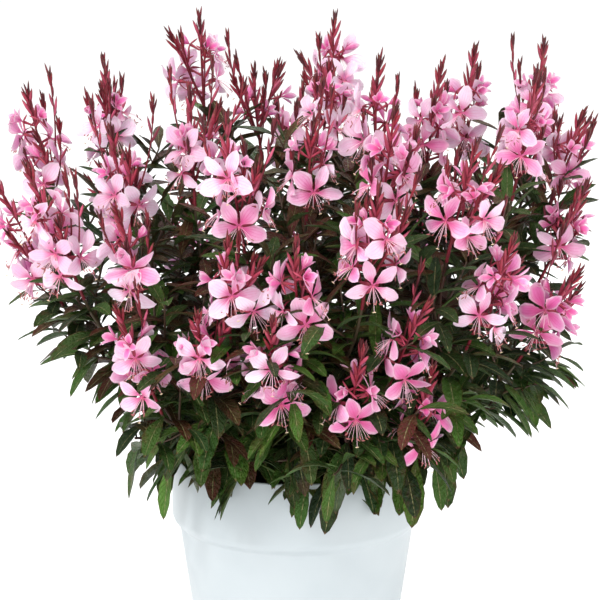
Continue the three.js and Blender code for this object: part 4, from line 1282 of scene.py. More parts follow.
# %% Soil
SOIL_EDGE_HEIGHT = 141
SOIL = Made(band_gap=1.2, body_gap=0.6, floor_gap=0.5, step=7.0, edge_drop=2, rings=20, segments=84)
SOIL_SUNK = 0.6
LUMPS = Made(often=0.05, height=1.1, layer=3.1)
GRAINS = Made(often=0.31, height=0.9, layer=7.7)
CRUMBS = Made(count=200, inset=3, rise=0.2, least=0.7, span=1.5, tilt=0.6, lean=0.05, sides=6)
CRUMB_STATIONS = (-1, -0.55, 0.1, 0.6, 1)
CRUMB_RADII = (0.3, 0.8, 1, 0.75, 0.25)
PALE_CRUMBS = Made(share=0.07, tone=0.9)


def soil_noise(x, y, kind):
    return noise.noise((x * kind.often, y * kind.often, kind.layer)) * kind.height


def soil_height(x, y):
    """The soil's level, which falls a little to its edge and is uneven."""
    level = mix(SOIL_CROWN, SOIL_EDGE_HEIGHT, math.hypot(x, y) / POT.rim)
    return level + soil_noise(x, y, LUMPS) + soil_noise(x, y, GRAINS) - SOIL_SUNK


def make_soil():
    """The body of soil, whose top is uneven, and the crumbs on it."""
    skins = Skins(POTTING_SOIL)
    within = POT.rim - POT.wall - SOIL.band_gap
    step = POT.height - POT.band
    floor = POT.floor_rise + POT.wall + SOIL.floor_gap
    profile = [(0, floor), (POT.base - POT.wall - SOIL.body_gap, floor),
               (POT.body_top - POT.wall - SOIL.body_gap, step), (within, step + SOIL.step),
               (within, SOIL_EDGE_HEIGHT - SOIL.edge_drop)]
    profile += [(within * (1 - k / SOIL.rings), SOIL_CROWN) for k in range(SOIL.rings)]
    points, faces = turned_skin(profile + [(0, SOIL_CROWN)], SOIL.segments)
    for point in points:
        if point[2] == SOIL_CROWN:
            point[2] = soil_height(point[0], point[1])
    skins.add(points, np.zeros_like(points), (0, 0, 0), faces, POTTING_SOIL)
    draw = seeded_draw(SEEDS.soil)
    for _ in range(CRUMBS.count):
        radius, bearing = (within - CRUMBS.inset) * math.sqrt(draw()), 360 * draw()
        middle = outward_at(bearing) * radius
        middle[2] = soil_height(middle[0], middle[1]) + CRUMBS.rise
        size = CRUMBS.least + CRUMBS.span * draw() ** 2
        way = unit(np.array([jitter(draw, 1), jitter(draw, 1), jitter(draw, CRUMBS.tilt) + CRUMBS.lean]))
        line = [middle + way * size * far for far in CRUMB_STATIONS]
        radii = [size * share * (0.8 + 0.4 * draw()) for share in CRUMB_RADII]
        pale = PALE_CRUMBS.tone if draw() < PALE_CRUMBS.share else 0.0
        add_rod(skins, line, radii, CRUMBS.sides, (pale, 0, 0), POTTING_SOIL, np.array([0.3, 0.9, 0.2]))
    return skins.make("crumbly_soil", "soil")


crumbly_soil = make_soil()
print("soil faces:", len(crumbly_soil.data.polygons))

# %% [markdown]
# ## Fine leaves
# A gaura's leaf is lance shaped or, low on the plant, spoon shaped on a narrow stalk. It is folded
# a little along its midrib, bowed to either side of it, wavy at the rim, and it has a few small
# teeth, far apart. The teeth cost nothing: every second station of the blade is a little wider.

# %% One leaf
LEAF_COLUMNS = 5
LEAF_THICK = 0.55
LEAF_EDGE = Made(fullness=0.95, slender=1.1, blunt=0.76, stalk=0.45, tip=0.08)
LEAF_BOW = 0.10
LEAF_RIPPLE = Made(right=9, left=8, shift=3, height=0.8)
TOOTH = Made(size=0.07, shift=0.3)
MOUND_RADIUS = 190
BRONZE = Made(low=165, span=150, share=0.12, high_share=0.62, reach=1.3, least=0.55, on_green=0.12)
YOUNG = Made(above=0.68, strength=2.4)
LIGHT_POWER = 1.3


def leaf_halves(kind, ts):
    """The half width along a leaf, as a share of the widest."""
    widest = kind.stations[-1][0]
    first, share = kind.stations[0]
    slender = LEAF_EDGE.slender
    if first < widest:
        slender = math.log(share) / math.log(math.sin(math.pi / 2 * first / widest))
    rising = np.sin(np.pi / 2 * np.clip(ts / widest, 0, 1)) ** slender
    falling = (1 - np.clip((ts - widest) / (1 - widest), 0, 1) ** 2) ** LEAF_EDGE.blunt
    return np.where(ts < widest, rising, falling)


def add_leaf(skins, leaf, pose, tone, stations):
    """One leaf's blade in its pose: folded, bowed, wavy at the rim and with small teeth."""
    ts = np.linspace(0, 1, stations)
    ts[1:-1:2] += TOOTH.shift / stations
    middle, ways = bezier_rows(pose.curve, ts)
    normal = np.cross(pose.wide, ways)
    normal = normal / np.linalg.norm(normal, axis=1, keepdims=True)
    wide = np.tile(pose.wide, (stations, 1))
    half = LEAF_EDGE.fullness * pose.width / 2 * leaf_halves(leaf.kind, ts)
    half[1:-1] *= 1 + TOOTH.size * np.where(np.arange(1, stations - 1) % 2, 0.5, -0.5)
    half = np.maximum(half, LEAF_EDGE.stalk * (1 - ts) + LEAF_EDGE.tip)
    across = np.linspace(-1, 1, LEAF_COLUMNS)
    fold = LEAF_FOLD * np.abs(across) - LEAF_BOW * np.sin(np.pi * np.abs(across))
    right = np.sin(ts * LEAF_RIPPLE.right + leaf.wave[0] * LEAF_RIPPLE.shift)
    left = np.sin(ts * LEAF_RIPPLE.left + leaf.wave[2] * LEAF_RIPPLE.shift)
    ripple = np.outer(right, across > 0) * leaf.wave[1] + np.outer(left, across < 0) * leaf.wave[3]
    swelling = ripple * np.abs(across) * np.sin(np.pi * ts)[:, None] * LEAF_RIPPLE.height
    add_blade(skins, middle, wide, normal, half, half[:, None] * fold + swelling, LEAF_THICK, tone, LEAF)


def leaf_tone(point, draw):
    """Light, red and young: more leaves are bronze high and inside, and fresh ones stand low."""
    high = min(1, max(0, (point[2] - BRONZE.low) / BRONZE.span))
    outwardness = math.hypot(point[0], point[1]) / MOUND_RADIUS
    bronze = draw() < BRONZE.share + BRONZE.high_share * high * (BRONZE.reach - outwardness)
    red = mix(BRONZE.least, 1, draw()) if bronze else draw() * BRONZE.on_green
    young = max(0, draw() - YOUNG.above) * YOUNG.strength * (1 - high)
    return draw() ** LIGHT_POWER, red, young


print("half widths of a low leaf:", np.round(leaf_halves(LEAF_KINDS["low"], np.linspace(0, 1, 5)), 2))

# %% [markdown]
# ## Leafy stems
# Each stem is a wiry rod along the same curve as its solid, with its branches and its low shoot. On
# these stand the solid's own leaves, and then what was too small or too many for the solids: short
# leafy twigs and more leaves between, which close the plant into the dense mound of the picture. The
# last few leaves stand on the upper halves of the lines, where light would still show through.

# %% Twigs
TWIGS = {"main": 8, "inner": 11, "branch": 5, "shoot": 3}
TWIG = Made(along=0.5, up=0.35, shortest=30, longest=62, rise=0.5, rise_span=0.3, radius=1.0,
            foot=0.95, tip=0.6, sides=5, turn=20, turn_jitter=30, inside=-12)
TWIG_LEAVES = Made(count=7, low=0.3, high=1.0, size=0.92, shrink=0.2, raise_more=0.25)
EXTRA_LEAVES = {"main": 14, "inner": 28, "branch": 11, "shoot": 11}
EXTRA = Made(turn=55, turn_jitter=25, smallest=0.72, largest=1.1, lowest=0.3, lowest_on_main=0.14,
             highest=0.97, highest_twig=0.9)
FILLING = Made(count=5, low=0.42, high=0.94, turn=100, turn_jitter=40, smallest=0.8, largest=1.1)
BASAL = Made(turns=(-95, 0, 95), at=0.13, turn_jitter=15, smallest=0.7, largest=1.1)
STEM_ROD = Made(foot=0.82, tip=0.72, sides=7, red=0.35, red_side=0.75, points=15, twig_points=5, root=8)
OWN_STATIONS = 13
SHOOT_STATIONS = 11
INNER_STATIONS = 9
LEAF_MIDDLE = 0.55
BOX_MARGIN = 6
POT_MARGIN = Made(outside=2, wall=3, soil=1)


def grow_twig(line, t, turn, draw):
    """A short side shoot, as a line that can carry leaves itself."""
    foot, way = point_on(line, t)
    first = square_to(line.outward, way)
    away = turned(first, cross(way, first), math.radians(turn))
    start = unit(away + way * TWIG.along + UP * TWIG.up)
    half = mix(TWIG.shortest, TWIG.longest, draw()) * 0.5
    end = unit(start + UP * (TWIG.rise + TWIG.rise_span * draw()))
    curve = [foot, foot + start * half, foot + start * half + end * half]
    flat = away * np.array([1, 1, 0])
    return Made(role="twig", curve=curve, steps=line_steps(curve, 4), outward=unit(flat + 0.001),
                sideways=cross(UP, unit(flat + 0.001)), radius=TWIG.radius)


def add_line(skins, line, radius, tip_radius, sides, tone):
    """A stem, branch, shoot or twig as a rod; a main stem goes on down into the soil."""
    count = STEM_ROD.twig_points if line.role == "twig" else STEM_ROD.points
    points = bezier_rows(line.curve, np.linspace(0, 1, count))[0]
    if line.role == "main":
        points = np.concatenate([[points[0] - unit(points[1] - points[0]) * STEM_ROD.root], points])
    radii = np.linspace(radius, tip_radius, len(points))
    add_rod(skins, points, radii, sides, tone, STEM_BARK)


def inside_box(point, margin):
    """True where a point, in millimetres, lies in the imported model's box with a margin round it."""
    low, high = np.array(cad_box[0]) / MM, np.array(cad_box[1]) / MM
    return bool(np.all(point > low - margin) and np.all(point < high + margin))


def clear_of_pot(points):
    """True unless one of the points is inside the pot's wall, in the soil or in the rim."""
    for point in points:
        radius = math.hypot(point[0], point[1])
        if point[2] < POT.height + POT_MARGIN.outside and radius < POT.rim + POT_MARGIN.outside:
            within = radius < POT.rim - POT.wall - POT_MARGIN.wall
            if not (within and point[2] > SOIL_CROWN + POT_MARGIN.soil):
                return False
    return True


def add_more_leaf(skins, leaf, draw, stations):
    """A leaf that no solid stands for, unless it would leave the plant's box or touch the pot."""
    pose = set_leaf(leaf)
    middle, tip = bezier(pose.curve, LEAF_MIDDLE), pose.curve[-1]
    if inside_box(tip, BOX_MARGIN) and clear_of_pot([bezier(pose.curve, 0.3), middle, tip]):
        add_leaf(skins, leaf, pose, leaf_tone(middle, draw), stations)


def fill_upper_lines(skins, plant):
    """A few leaves more on the upper half of a stem and its branches, where light would show through."""
    draw = seeded_draw(SEEDS.filling + plant.index)
    for line in plant.lines:
        if line.role == "shoot":
            continue
        for k in range(FILLING.count):
            t = mix(FILLING.low, FILLING.high, (k + draw()) / FILLING.count)
            turn = FILLING.turn + k * GOLDEN_ANGLE + jitter(draw, FILLING.turn_jitter)
            leaf = grow_leaf(line, t, turn, None, draw)
            leaf.size *= mix(FILLING.smallest, FILLING.largest, draw())
            add_more_leaf(skins, leaf, draw, INNER_STATIONS)


def add_basal_leaves(skins, main, draw):
    """A few spoon-shaped leaves round the foot of an outer stem."""
    for turn in BASAL.turns:
        leaf = grow_leaf(main, BASAL.at, turn + jitter(draw, BASAL.turn_jitter), "basal", draw)
        leaf.size *= mix(BASAL.smallest, BASAL.largest, draw())
        add_more_leaf(skins, leaf, draw, OWN_STATIONS)


def add_extra_leaves(skins, line, role, low, name, stations, draw):
    """More leaves in a spiral up a line."""
    for k in range(EXTRA_LEAVES[role]):
        t = mix(low, EXTRA.highest, (k + draw()) / EXTRA_LEAVES[role])
        turn = EXTRA.turn + k * GOLDEN_ANGLE + jitter(draw, EXTRA.turn_jitter)
        leaf = grow_leaf(line, t, turn, name, draw)
        leaf.size *= mix(EXTRA.smallest, EXTRA.largest, draw())
        add_more_leaf(skins, leaf, draw, stations)


def add_twigs(skins, line, role, low, name, stations, draw):
    """Short leafy twigs in a spiral up a line, but none that would hang out of the plant."""
    for k in range(TWIGS[role]):
        t = mix(low, EXTRA.highest_twig, (k + 0.5 + jitter(draw, 0.3)) / TWIGS[role])
        twig = grow_twig(line, t, TWIG.turn + k * GOLDEN_ANGLE + jitter(draw, TWIG.turn_jitter), draw)
        if not inside_box(twig.curve[-1], TWIG.inside) or not clear_of_pot(twig.curve[1:]):
            continue
        if twig.curve[-1][2] < POT.height:
            continue
        add_line(skins, twig, TWIG.foot, TWIG.tip, TWIG.sides, (0, 0.6, 0))
        for j in range(TWIG_LEAVES.count):
            t = mix(TWIG_LEAVES.low, TWIG_LEAVES.high, j / (TWIG_LEAVES.count - 1))
            leaf = grow_leaf(twig, t, j * GOLDEN_ANGLE, name, draw)
            leaf.size *= TWIG_LEAVES.size - TWIG_LEAVES.shrink * j / TWIG_LEAVES.count
            leaf.raised += TWIG_LEAVES.raise_more * j / TWIG_LEAVES.count
            add_more_leaf(skins, leaf, draw, stations)


def make_leafy_stem(plant):
    """One stem with its branches and shoot, its own leaves, and all that was too fine for its solid."""
    skins = Skins(LEAF, STEM_BARK)
    draw = seeded_draw(SEEDS.foliage + plant.index)
    for leaf, pose in plant.leaves:
        tone = leaf_tone(bezier(pose.curve, LEAF_MIDDLE), draw)
        add_leaf(skins, leaf, pose, tone, OWN_STATIONS)
    if plant.outer:
        add_basal_leaves(skins, plant.lines[0], draw)
    for line in plant.lines:
        main = line.role == "main"
        red = STEM_ROD.red if main else STEM_ROD.red_side
        foot, tip = line.radius * STEM_ROD.foot, STEM.top * STEM_ROD.tip
        add_line(skins, line, foot, tip, STEM_ROD.sides, (0, red, 0))
        low = EXTRA.lowest_on_main if main else EXTRA.lowest
        name = "hanging" if line.role == "shoot" else None
        role = "inner" if main and not plant.outer else line.role
        stations = SHOOT_STATIONS if role == "shoot" else INNER_STATIONS
        add_extra_leaves(skins, line, role, low, name, stations, draw)
        add_twigs(skins, line, role, low, name, stations, draw)
    fill_upper_lines(skins, plant)
    return skins.make(f"foliage_{plant.name}", plant.node)


foliage = [make_leafy_stem(plant) for plant in plants]
print("foliage faces:", sum(len(piece.data.polygons) for piece in foliage))

# %% [markdown]
# ## Blooms
# A gaura bloom has a slender red tube, four petals on narrow claws that spread like wings in its
# upper half, four narrow sepals that fold back, eight long stamens that hang out in a fan with a
# rusty anther on each, and a style that reaches past them and ends in four small lobes. Each bloom
# is built in the pose that was found for its solid.

# %% Petals and sepals
PETAL_STATIONS = 9
PETAL_COLUMNS = 7
PETAL_THICK = 0.30
CLAW = Made(end=0.14, width=0.13)
PETAL_EDGE = Made(swell=1.25, round=0.86, point=0.14, least=0.3, scallop=0.05, scallops=21, closer=1.25)
PETAL_BOW = Made(depth=1.6, end=0.9, tip=0.5, tip_jitter=2.2, sickle=1.1, longer=1.06)
OPEN_PETAL = Made(fullness=1.17, fullness_jitter=0.12, twist=0.6, cup=0.2, cup_jitter=0.26)
FOLDED_PETAL = Made(share=0.2, fullness=0.85, twist=1.1, cup=0.5)
PETAL_WAVE = Made(often=8, height=0.9)
CREASE = Made(depth=-0.25, width=0.16)
WHOLE_PHASE = 6
SEPAL = Made(length=9.5, length_jitter=0.12, half=1.05, blunt=0.7, turn_jitter=12, below=0.8, out=0.9,
             spread=0.55, spread_jitter=0.25, knee=0.35, beyond_knee=0.7, stations=6, cup=0.35, thick=0.3)
NARROW_TIP = 0.06


def petal_halves(ts):
    """The half width along a petal, as a share of the widest: a narrow claw and a broad round blade."""
    widest = PETAL_SIZE.widest
    swell = np.clip((ts - CLAW.end) / (widest - CLAW.end), 0, 1)
    rising = CLAW.width + (1 - CLAW.width) * np.sin(np.pi / 2 * swell) ** PETAL_EDGE.swell
    past = np.clip((ts - widest) / (1 - widest), 0, 1)
    falling = PETAL_EDGE.round * np.sqrt(1 - past ** 2) + PETAL_EDGE.point * (1 - past)
    return np.where(ts < widest, rising, falling)


def add_petal(skins, bloom, pose, k, tone, draw):
    """One petal: bowed back, cupped, a little twisted and wavy, and now and then half folded."""
    petal = petal_frame(bloom, pose, k)
    ts = 1 - (1 - np.linspace(0, 1, PETAL_STATIONS)) ** PETAL_EDGE.closer
    arch = np.sin(np.pi * np.clip(ts / PETAL_BOW.end, 0, 1))
    bowed = -PETAL_SIZE.cupped * arch * PETAL_BOW.depth + PETAL_SIZE.cupped * ts ** 4
    bowed = bowed + (PETAL_BOW.tip + jitter(draw, PETAL_BOW.tip_jitter)) * ts ** 3
    sickle = jitter(draw, PETAL_BOW.sickle) * ts ** 2
    length = petal.length * PETAL_BOW.longer
    middle = pose.throat + np.outer(ts * length, petal.along) + np.outer(bowed, petal.back)
    middle = middle + np.outer(sickle, petal.wide)
    normal = np.tile(-petal.back, (PETAL_STATIONS, 1))
    scallop = 1 + PETAL_EDGE.scallop * np.sin(ts * PETAL_EDGE.scallops + draw() * WHOLE_PHASE)
    if draw() < FOLDED_PETAL.share:
        fullness, twist, cup = FOLDED_PETAL.fullness, jitter(draw, FOLDED_PETAL.twist), FOLDED_PETAL.cup
    else:
        fullness = OPEN_PETAL.fullness + jitter(draw, OPEN_PETAL.fullness_jitter)
        twist = jitter(draw, OPEN_PETAL.twist)
        cup = OPEN_PETAL.cup + jitter(draw, OPEN_PETAL.cup_jitter)
    half = np.maximum(petal.half * fullness * petal_halves(ts) * scallop, PETAL_EDGE.least)
    across = np.linspace(-1, 1, PETAL_COLUMNS)
    lift = half[:, None] * cup * (across ** 2)
    ruffle = np.sin(ts * PETAL_WAVE.often + draw() * WHOLE_PHASE)
    wave = np.outer(ruffle, across) * jitter(draw, PETAL_WAVE.height)
    crease = CREASE.depth * np.exp(-(across / CREASE.width) ** 2) * np.sin(np.pi * ts)[:, None]
    wide = np.outer(np.cos(twist * ts), -petal.wide) + np.outer(np.sin(twist * ts), petal.back)
    lift = lift + wave * ts[:, None] ** 2 + crease
    add_blade(skins, middle, wide, normal, half, lift, PETAL_THICK, tone, PETAL)


def add_narrow_blade(skins, curve, wide, halves, shape, tone):
    """A small red blade along a curve, three points wide; halves gives its half width there."""
    ts = np.linspace(0, 1, shape.stations)
    middle, ways = bezier_rows(curve, ts)
    wide = np.tile(wide, (shape.stations, 1))
    normal = np.cross(wide, ways)
    normal = normal / np.linalg.norm(normal, axis=1, keepdims=True)
    half = halves(ts)
    lift = half[:, None] * shape.cup * np.linspace(-1, 1, 3) ** 2
    add_blade(skins, middle, wide, normal, half, lift, shape.thick, tone, RED_GROWTH)


def add_sepal(skins, pose, bearing, draw):
    """A narrow red sepal that leaves the throat and folds back beside the tube."""
    away = turned(pose.top, pose.right, math.radians(bearing + jitter(draw, SEPAL.turn_jitter)))
    base = pose.throat - pose.tube_way * SEPAL.below + away * SEPAL.out
    length = SEPAL.length * pose.size * (1 + jitter(draw, SEPAL.length_jitter))
    back = unit(away * (SEPAL.spread + jitter(draw, SEPAL.spread_jitter)) - pose.tube_way)
    knee = base + away * (length * SEPAL.knee)
    curve = [base, knee, knee + back * (length * SEPAL.beyond_knee)]

    def halves(ts):
        return SEPAL.half * np.sin(np.pi * np.clip(0.25 + 0.75 * ts, 0, 1)) ** SEPAL.blunt + NARROW_TIP

    add_narrow_blade(skins, curve, unit(cross(away, pose.tube_way)), halves, SEPAL, (0.75, 0.25, 0.4))


print("petal half widths:", np.round(petal_halves(np.linspace(0, 1, 5)), 2))


# %% Stamens, style and tube
THREAD = Made(points=5, sides=3, knee=0.6, taper=0.7)
FILAMENT = Made(count=8, fan=62, fan_jitter=9, length=11.0, length_jitter=1.5, sag=2.4, radius=0.16,
                reach=0.75, face_jitter=0.25, down_jitter=0.2)
ANTHER_STATIONS = (-1.3, 0, 1.4)
ANTHER_RADII = (0.2, 0.44, 0.18)
STYLE = Made(length=14.5, sag=3.0, radius=0.19, reach=0.8)
TUBE_SHARES = (-0.06, 0.08, 0.3, 0.55, 0.8, 1.0)
TUBE_RADII = (0.5, 0.9, 0.85, 0.75, 0.95, 1.25)


def add_thread(skins, start, way, length, shape):
    """A thin thread that sags, as a filament or a style; returns its tip and the way it points."""
    end = start + way * length - UP * shape.sag
    knee = start + way * (length * THREAD.knee)
    line = bezier_rows([start, knee, end], np.linspace(0, 1, THREAD.points))[0]
    radii = np.linspace(shape.radius, shape.radius * THREAD.taper, THREAD.points)
    add_rod(skins, line, radii, THREAD.sides, (0, 0, 0), STAMEN, np.array([0.9, 0.1, 0.3]))
    return line[-1], unit(line[-1] - line[-2])


def add_stamens(skins, pose, draw):
    """The stamens in a hanging fan with an anther on each, and the style with its four lobes."""
    down = -pose.top
    for k in range(FILAMENT.count):
        spread = mix(-FILAMENT.fan, FILAMENT.fan, k / (FILAMENT.count - 1))
        fan = turned(down, pose.right, math.radians(spread + jitter(draw, FILAMENT.fan_jitter)))
        forward = FILAMENT.reach + jitter(draw, FILAMENT.face_jitter)
        way = unit(pose.face * forward + fan * (FILAMENT.reach + jitter(draw, FILAMENT.down_jitter)))
        length = pose.size * (FILAMENT.length + jitter(draw, FILAMENT.length_jitter))
        tip, on = add_thread(skins, pose.throat, way, length, FILAMENT)
        lay = unit(on * 0.4 + pose.right * jitter(draw, 1) + UP * jitter(draw, 0.8))
        line = [tip + lay * far for far in ANTHER_STATIONS]
        add_rod(skins, line, ANTHER_RADII, 4, (0, 0.9, 0), STAMEN)
    way = unit(pose.face * STYLE.reach + down * STYLE.reach)
    tip, on = add_thread(skins, pose.throat, way, STYLE.length * pose.size, STYLE)
    side = square_to(pose.right, on)
    for k in range(4):
        lobe = turned(side, cross(on, side), math.pi / 2 * k + 0.4)
        line = [tip, tip + lobe * 0.55 + on * 0.25, tip + lobe * 1.1 + on * 0.2]
        add_rod(skins, line, (0.2, 0.3, 0.12), 4, (0, 0, 1), STAMEN, UP)


def add_tube(skins, pose):
    span = pose.throat - pose.foot
    line = [pose.foot + span * share for share in TUBE_SHARES]
    add_rod(skins, line, TUBE_RADII, 6, (0.9, 0.2, 0.2), RED_GROWTH)


print("threads in each bloom:", FILAMENT.count, "stamens and a style")

# %% A whole bloom
# Painted light: the change of pink with place pales the blooms high on the left as if lit more brightly; the
# jitters are the blooms' own spread.
PINK_PAINTED_LIGHT_AND_JITTER = Made(top=390, height=200, left=-150, breadth=350, by_lower=0.5, by_right=0.34, less=0.05,
            jitter_high=0.5, jitter_low=0.32, petal_jitter=0.16)
SEPAL_BEARINGS = (-72, -5, 72, 180)


def pink_depth_and_painted_light(pose, draw):
    """How deep the pink is, with painted light: blooms high on the left are paled as if more brightly lit,
    and those low in the plant or to the right are deeper.
    """
    lower = min(1, max(0, (PINK_PAINTED_LIGHT_AND_JITTER.top - pose.throat[2]) / PINK_PAINTED_LIGHT_AND_JITTER.height))
    right = min(1, max(0, (pose.throat[0] - PINK_PAINTED_LIGHT_AND_JITTER.left) / PINK_PAINTED_LIGHT_AND_JITTER.breadth))
    strength = PINK_PAINTED_LIGHT_AND_JITTER.by_lower * lower + PINK_PAINTED_LIGHT_AND_JITTER.by_right * right - PINK_PAINTED_LIGHT_AND_JITTER.less
    return min(1, max(0, strength + jitter(draw, mix(PINK_PAINTED_LIGHT_AND_JITTER.jitter_high, PINK_PAINTED_LIGHT_AND_JITTER.jitter_low, lower))))


def add_bloom(skins, bloom, pose, draw):
    """One open bloom; its petals share an age and differ a little in depth."""
    # The depth of pink carries painted light: blooms high on the left are paler, as if more brightly lit.
    depth = pink_depth_and_painted_light(pose, draw)
    aged = draw() ** 3
    add_tube(skins, pose)
    for k in range(len(PETAL_ANGLES)):
        petal_depth = min(1, max(0, depth + jitter(draw, PINK_PAINTED_LIGHT_AND_JITTER.petal_jitter)))
        add_petal(skins, bloom, pose, k, (petal_depth, aged, 0), draw)
    for bearing in SEPAL_BEARINGS:
        add_sepal(skins, pose, bearing, draw)
    add_stamens(skins, pose, draw)


print("sepals in each bloom:", len(SEPAL_BEARINGS))

# %% [markdown]
# ## Wands and buds
# Above its blooms a wand runs out in a slim spike of pointed buds, which stand close to it, longest
# below and tiny at the tip, with a small leafy bract under every third. Just under the spike a few
# small blooms are on the point of opening. Thin side wands that carry buds alone rise among the
# wands, the tallest on a bare stalk, and give the plant its feathery outline.

# %% Buds and spikes
BUD_SHARES = (0, 0.2, 0.5, 0.8, 1)
BUD_RADII = (0.4, 0.85, 1.0, 0.7, 0.08)
BRACT = Made(half=0.12, rise=2.2, stations=5, cup=0.3, thick=0.25, every=3, long=5.0, short=3.0)
BRUSH = Made(length=10, top=3, buds=7)
SPIKE = Made(step=6.2, turn_jitter=15, splay=0.30, tip_splay=0.16, splay_jitter=0.5, tip_length=8,
             length_jitter=0.25, radius=1.05, tip_radius=0.75, bend=0.06)
BUD_BRIGHT = Made(low=0.5, high=0.12, jitter=0.4)


def add_bud(skins, foot, way, length, radius, tone, bend=0):
    """A slim pointed bud, which may bend up towards its tip."""
    line = [foot + way * length * share + UP * bend * share ** 2 for share in BUD_SHARES]
    add_rod(skins, line, [radius * share for share in BUD_RADII], 5, tone, RED_GROWTH)


def add_bract(skins, foot, away, rise, length, tone):
    """A small pointed leaf under a bud."""
    end = foot + unit(away + rise * BRACT.rise) * length
    curve = [foot, foot + unit(away + rise) * (length * 0.5), end]

    def halves(ts):
        return length * BRACT.half * np.sin(np.pi * np.clip(0.15 + 0.85 * ts, 0, 1)) + NARROW_TIP

    add_narrow_blade(skins, curve, unit(cross(away, rise)), halves, BRACT, tone)


def add_spike(skins, path, low, high, draw, first_length):
    """Buds in a spiral up a path, apart and long below and packed into a small brush at the tip."""
    brush = high - BRUSH.length
    places = [*np.arange(low, brush, SPIKE.step), *np.linspace(brush, high - BRUSH.top, BRUSH.buds)]
    for k, far in enumerate(places):
        share = (far - low) / (high - low)
        foot = path(far)
        rise = unit(path(far + 1) - path(far - 1))
        side = square_to(np.array([1.0, 0.2, 0.1]), rise)
        turn = k * GOLDEN_ANGLE + jitter(draw, SPIKE.turn_jitter)
        away = turned(side, cross(rise, side), math.radians(turn))
        splay = mix(SPIKE.splay, SPIKE.tip_splay, share)
        way = unit(rise + away * splay * (1 + jitter(draw, SPIKE.splay_jitter)))
        length = mix(first_length, SPIKE.tip_length, share) * (1 + jitter(draw, SPIKE.length_jitter))
        bright = mix(BUD_BRIGHT.low, BUD_BRIGHT.high, share) + jitter(draw, BUD_BRIGHT.jitter)
        bright = min(1, max(0, bright))
        tone = (bright, max(0, 0.4 - share) * draw() * 2, draw())
        radius = mix(SPIKE.radius, SPIKE.tip_radius, share)
        add_bud(skins, foot, way, length, radius, tone, length * SPIKE.bend)
        if k % BRACT.every == 0:
            add_bract(skins, foot, away, rise, mix(BRACT.long, BRACT.short, share), (bright * 0.5, 0, 0.8))


print("buds in the brush at a spike's tip:", BRUSH.buds)


# %% One wand
WAND_ROD = Made(top=0.95, points=16, foot=1.15, tip=0.5, sides=6, first_bud=14.5)
SIDE_SPIKE = Made(low=0.15, high=0.6, shortest=32, longest=80, power=1.5, foot=0.75, tip=0.4, points=9,
                  sides=5, budded=30, first_bud=11, reach=18)
OPENING = Made(length=11, length_jitter=2.5, half=3.1, least=0.5, tube=8, stations=7, columns=5,
               opened=0.3, opened_span=0.5, depth=0.55, depth_span=0.45, cup=-0.45)
SPIKES_ABOVE = 270
SPIKE_BEARINGS = (70, 200, 310)
OPENING_BEARINGS = (-65, 55, 170)


def add_wand(skins, wand, draw):
    """A wand with its spike of buds, and among them the longer buds that its solid has."""
    top = wand.length * WAND_ROD.top
    line = [wand_point(wand, far) for far in np.linspace(0, top, WAND_ROD.points)]
    radii = np.linspace(WAND_ROD.foot, WAND_ROD.tip, WAND_ROD.points)
    add_rod(skins, line, radii, WAND_ROD.sides, (0.3 + 0.35 * draw(), 0, 0), RED_GROWTH)
    add_spike(skins, lambda far: wand_point(wand, far), wand.stalk - 1, top, draw, WAND_ROD.first_bud)
    for row in range(1, wand.rows):
        low = wand.stalk + (row - 1) * wand.step
        length = mix(BUD.low, BUD.high, (row - 1) / wand.rows)
        for side in ((row - 1) % 3, row % 3):
            tip = wand_point(wand, low + length) + face_way(wand, side) * (BUD.stand + BUD.splay * length)
            foot = wand_point(wand, low)
            far = math.dist(tip, foot)
            add_bud(skins, foot, unit(tip - foot), far, 1.2, (0.5 + 0.4 * draw(), 0.4 * draw(), draw()))


def add_side_spike(skins, wand, bearing, draw):
    """A thin wand with buds alone, which rises beside a wand."""
    start = wand_point(wand, wand.stalk * mix(SIDE_SPIKE.low, SIDE_SPIKE.high, draw()))
    side = square_to(wand.sideways, wand.way)
    away = turned(side, cross(wand.way, side), math.radians(bearing))
    tallness = draw() ** SIDE_SPIKE.power
    length = mix(SIDE_SPIKE.shortest, SIDE_SPIKE.longest, tallness)
    curve = [start, start + unit(wand.way + away * mix(0.75, 0.45, tallness)) * (length * 0.5),
             start + unit(wand.way + away * mix(0.48, 0.24, tallness) + UP * 0.3) * length]
    if not inside_box(curve[-1] + UP * SIDE_SPIKE.reach, BOX_MARGIN):
        return
    line = bezier_rows(curve, np.linspace(0, 1, SIDE_SPIKE.points))[0]
    radii = np.linspace(SIDE_SPIKE.foot, SIDE_SPIKE.tip, SIDE_SPIKE.points)
    add_rod(skins, line, radii, SIDE_SPIKE.sides, (0.3, 0, 0), RED_GROWTH)
    low, high = max(length * 0.45, length - SIDE_SPIKE.budded), length * 0.98
    add_spike(skins, lambda far: bezier(curve, far / length), low, high, draw, SIDE_SPIKE.first_bud)


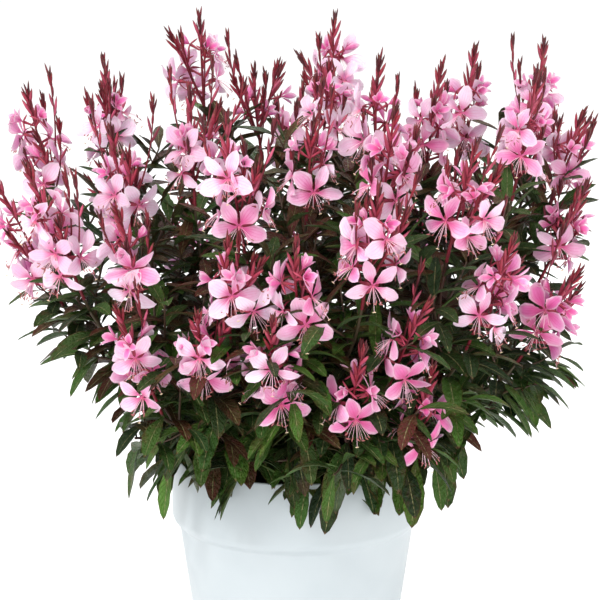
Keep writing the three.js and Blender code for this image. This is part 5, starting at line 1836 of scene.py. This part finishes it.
def add_opening_bloom(skins, wand, far, bearing, draw):
    """A small bloom on the point of opening: a tube, two sepals and four petals still folded forward."""
    outward = square_to(wand.outward, wand.way)
    away = turned(outward, cross(wand.way, outward), math.radians(bearing))
    axis = unit(away + wand.way * (0.55 + jitter(draw, 0.3)))
    foot = wand_point(wand, far) + away * 0.8
    throat = foot + axis * OPENING.tube
    add_rod(skins, [foot, mix(foot, throat, 0.5), throat], (0.6, 0.8, 1.2), 6, (0.9, 0.2, 0.2), RED_GROWTH)
    first = square_to(UP, axis)
    second = cross(axis, first)
    length = OPENING.length + jitter(draw, OPENING.length_jitter)
    opened = OPENING.opened + OPENING.opened_span * draw()
    depth, aged = OPENING.depth + OPENING.depth_span * draw(), draw() ** 2
    ts = np.linspace(0, 1, OPENING.stations)
    half = np.maximum(OPENING.half * petal_halves(ts), OPENING.least)
    lift = half[:, None] * OPENING.cup * np.linspace(-1, 1, OPENING.columns) ** 2
    for k in range(len(PETAL_ANGLES)):
        radial = turned(first, second, math.pi / 2 * k + jitter(draw, 0.25))
        along = turned(axis, radial, opened + jitter(draw, 0.15))
        wide = cross(along, radial)
        middle = throat + np.outer(ts * length, along) + np.outer(ts ** 2 * jitter(draw, 1.5), radial)
        normal = np.tile(unit(cross(wide, along)), (OPENING.stations, 1))
        wide = np.tile(wide, (OPENING.stations, 1))
        add_blade(skins, middle, wide, normal, half, lift, PETAL_THICK, (depth, aged, 0), PETAL)
    for bearing_round in (0.8, 3.9):
        radial = turned(first, second, bearing_round)
        add_bud(skins, throat, unit(radial - axis * 0.3), 8, 0.7, (0.8, 0.3, 0.2))


def count_side_spikes(wand):
    """More thin wands rise beside a spray's main wand, and more of them high in the plant."""
    if wand.start[2] > SPIKES_ABOVE:
        return 3 if wand.main else 1
    return 1 if wand.main else 0


def make_flower_spray(spray):
    """One spray: its wands with their buds, the thin wands beside them, and its blooms."""
    skins = Skins(PETAL, RED_GROWTH, STAMEN)
    draw = seeded_draw(SEEDS.flowers + round(spray.base[0] * 3 + spray.base[1] * 7 + spray.base[2]))
    for wand in spray.wands:
        add_wand(skins, wand, draw)
        for bearing in SPIKE_BEARINGS[:count_side_spikes(wand)]:
            add_side_spike(skins, wand, bearing + jitter(draw, 30), draw)
        for bearing in OPENING_BEARINGS[:3 if wand.main else 1]:
            far = wand.stalk + jitter(draw, 2.5) - 1
            add_opening_bloom(skins, wand, far, bearing + jitter(draw, 35), draw)
    for bloom, pose in spray.blooms:
        add_bloom(skins, bloom, pose, draw)
    return skins.make(spray.node.replace("flower_spray", "blooms"), spray.node)


flowering = [make_flower_spray(spray) for plant in plants for spray in plant.sprays]
print("flowering faces:", sum(len(piece.data.polygons) for piece in flowering))
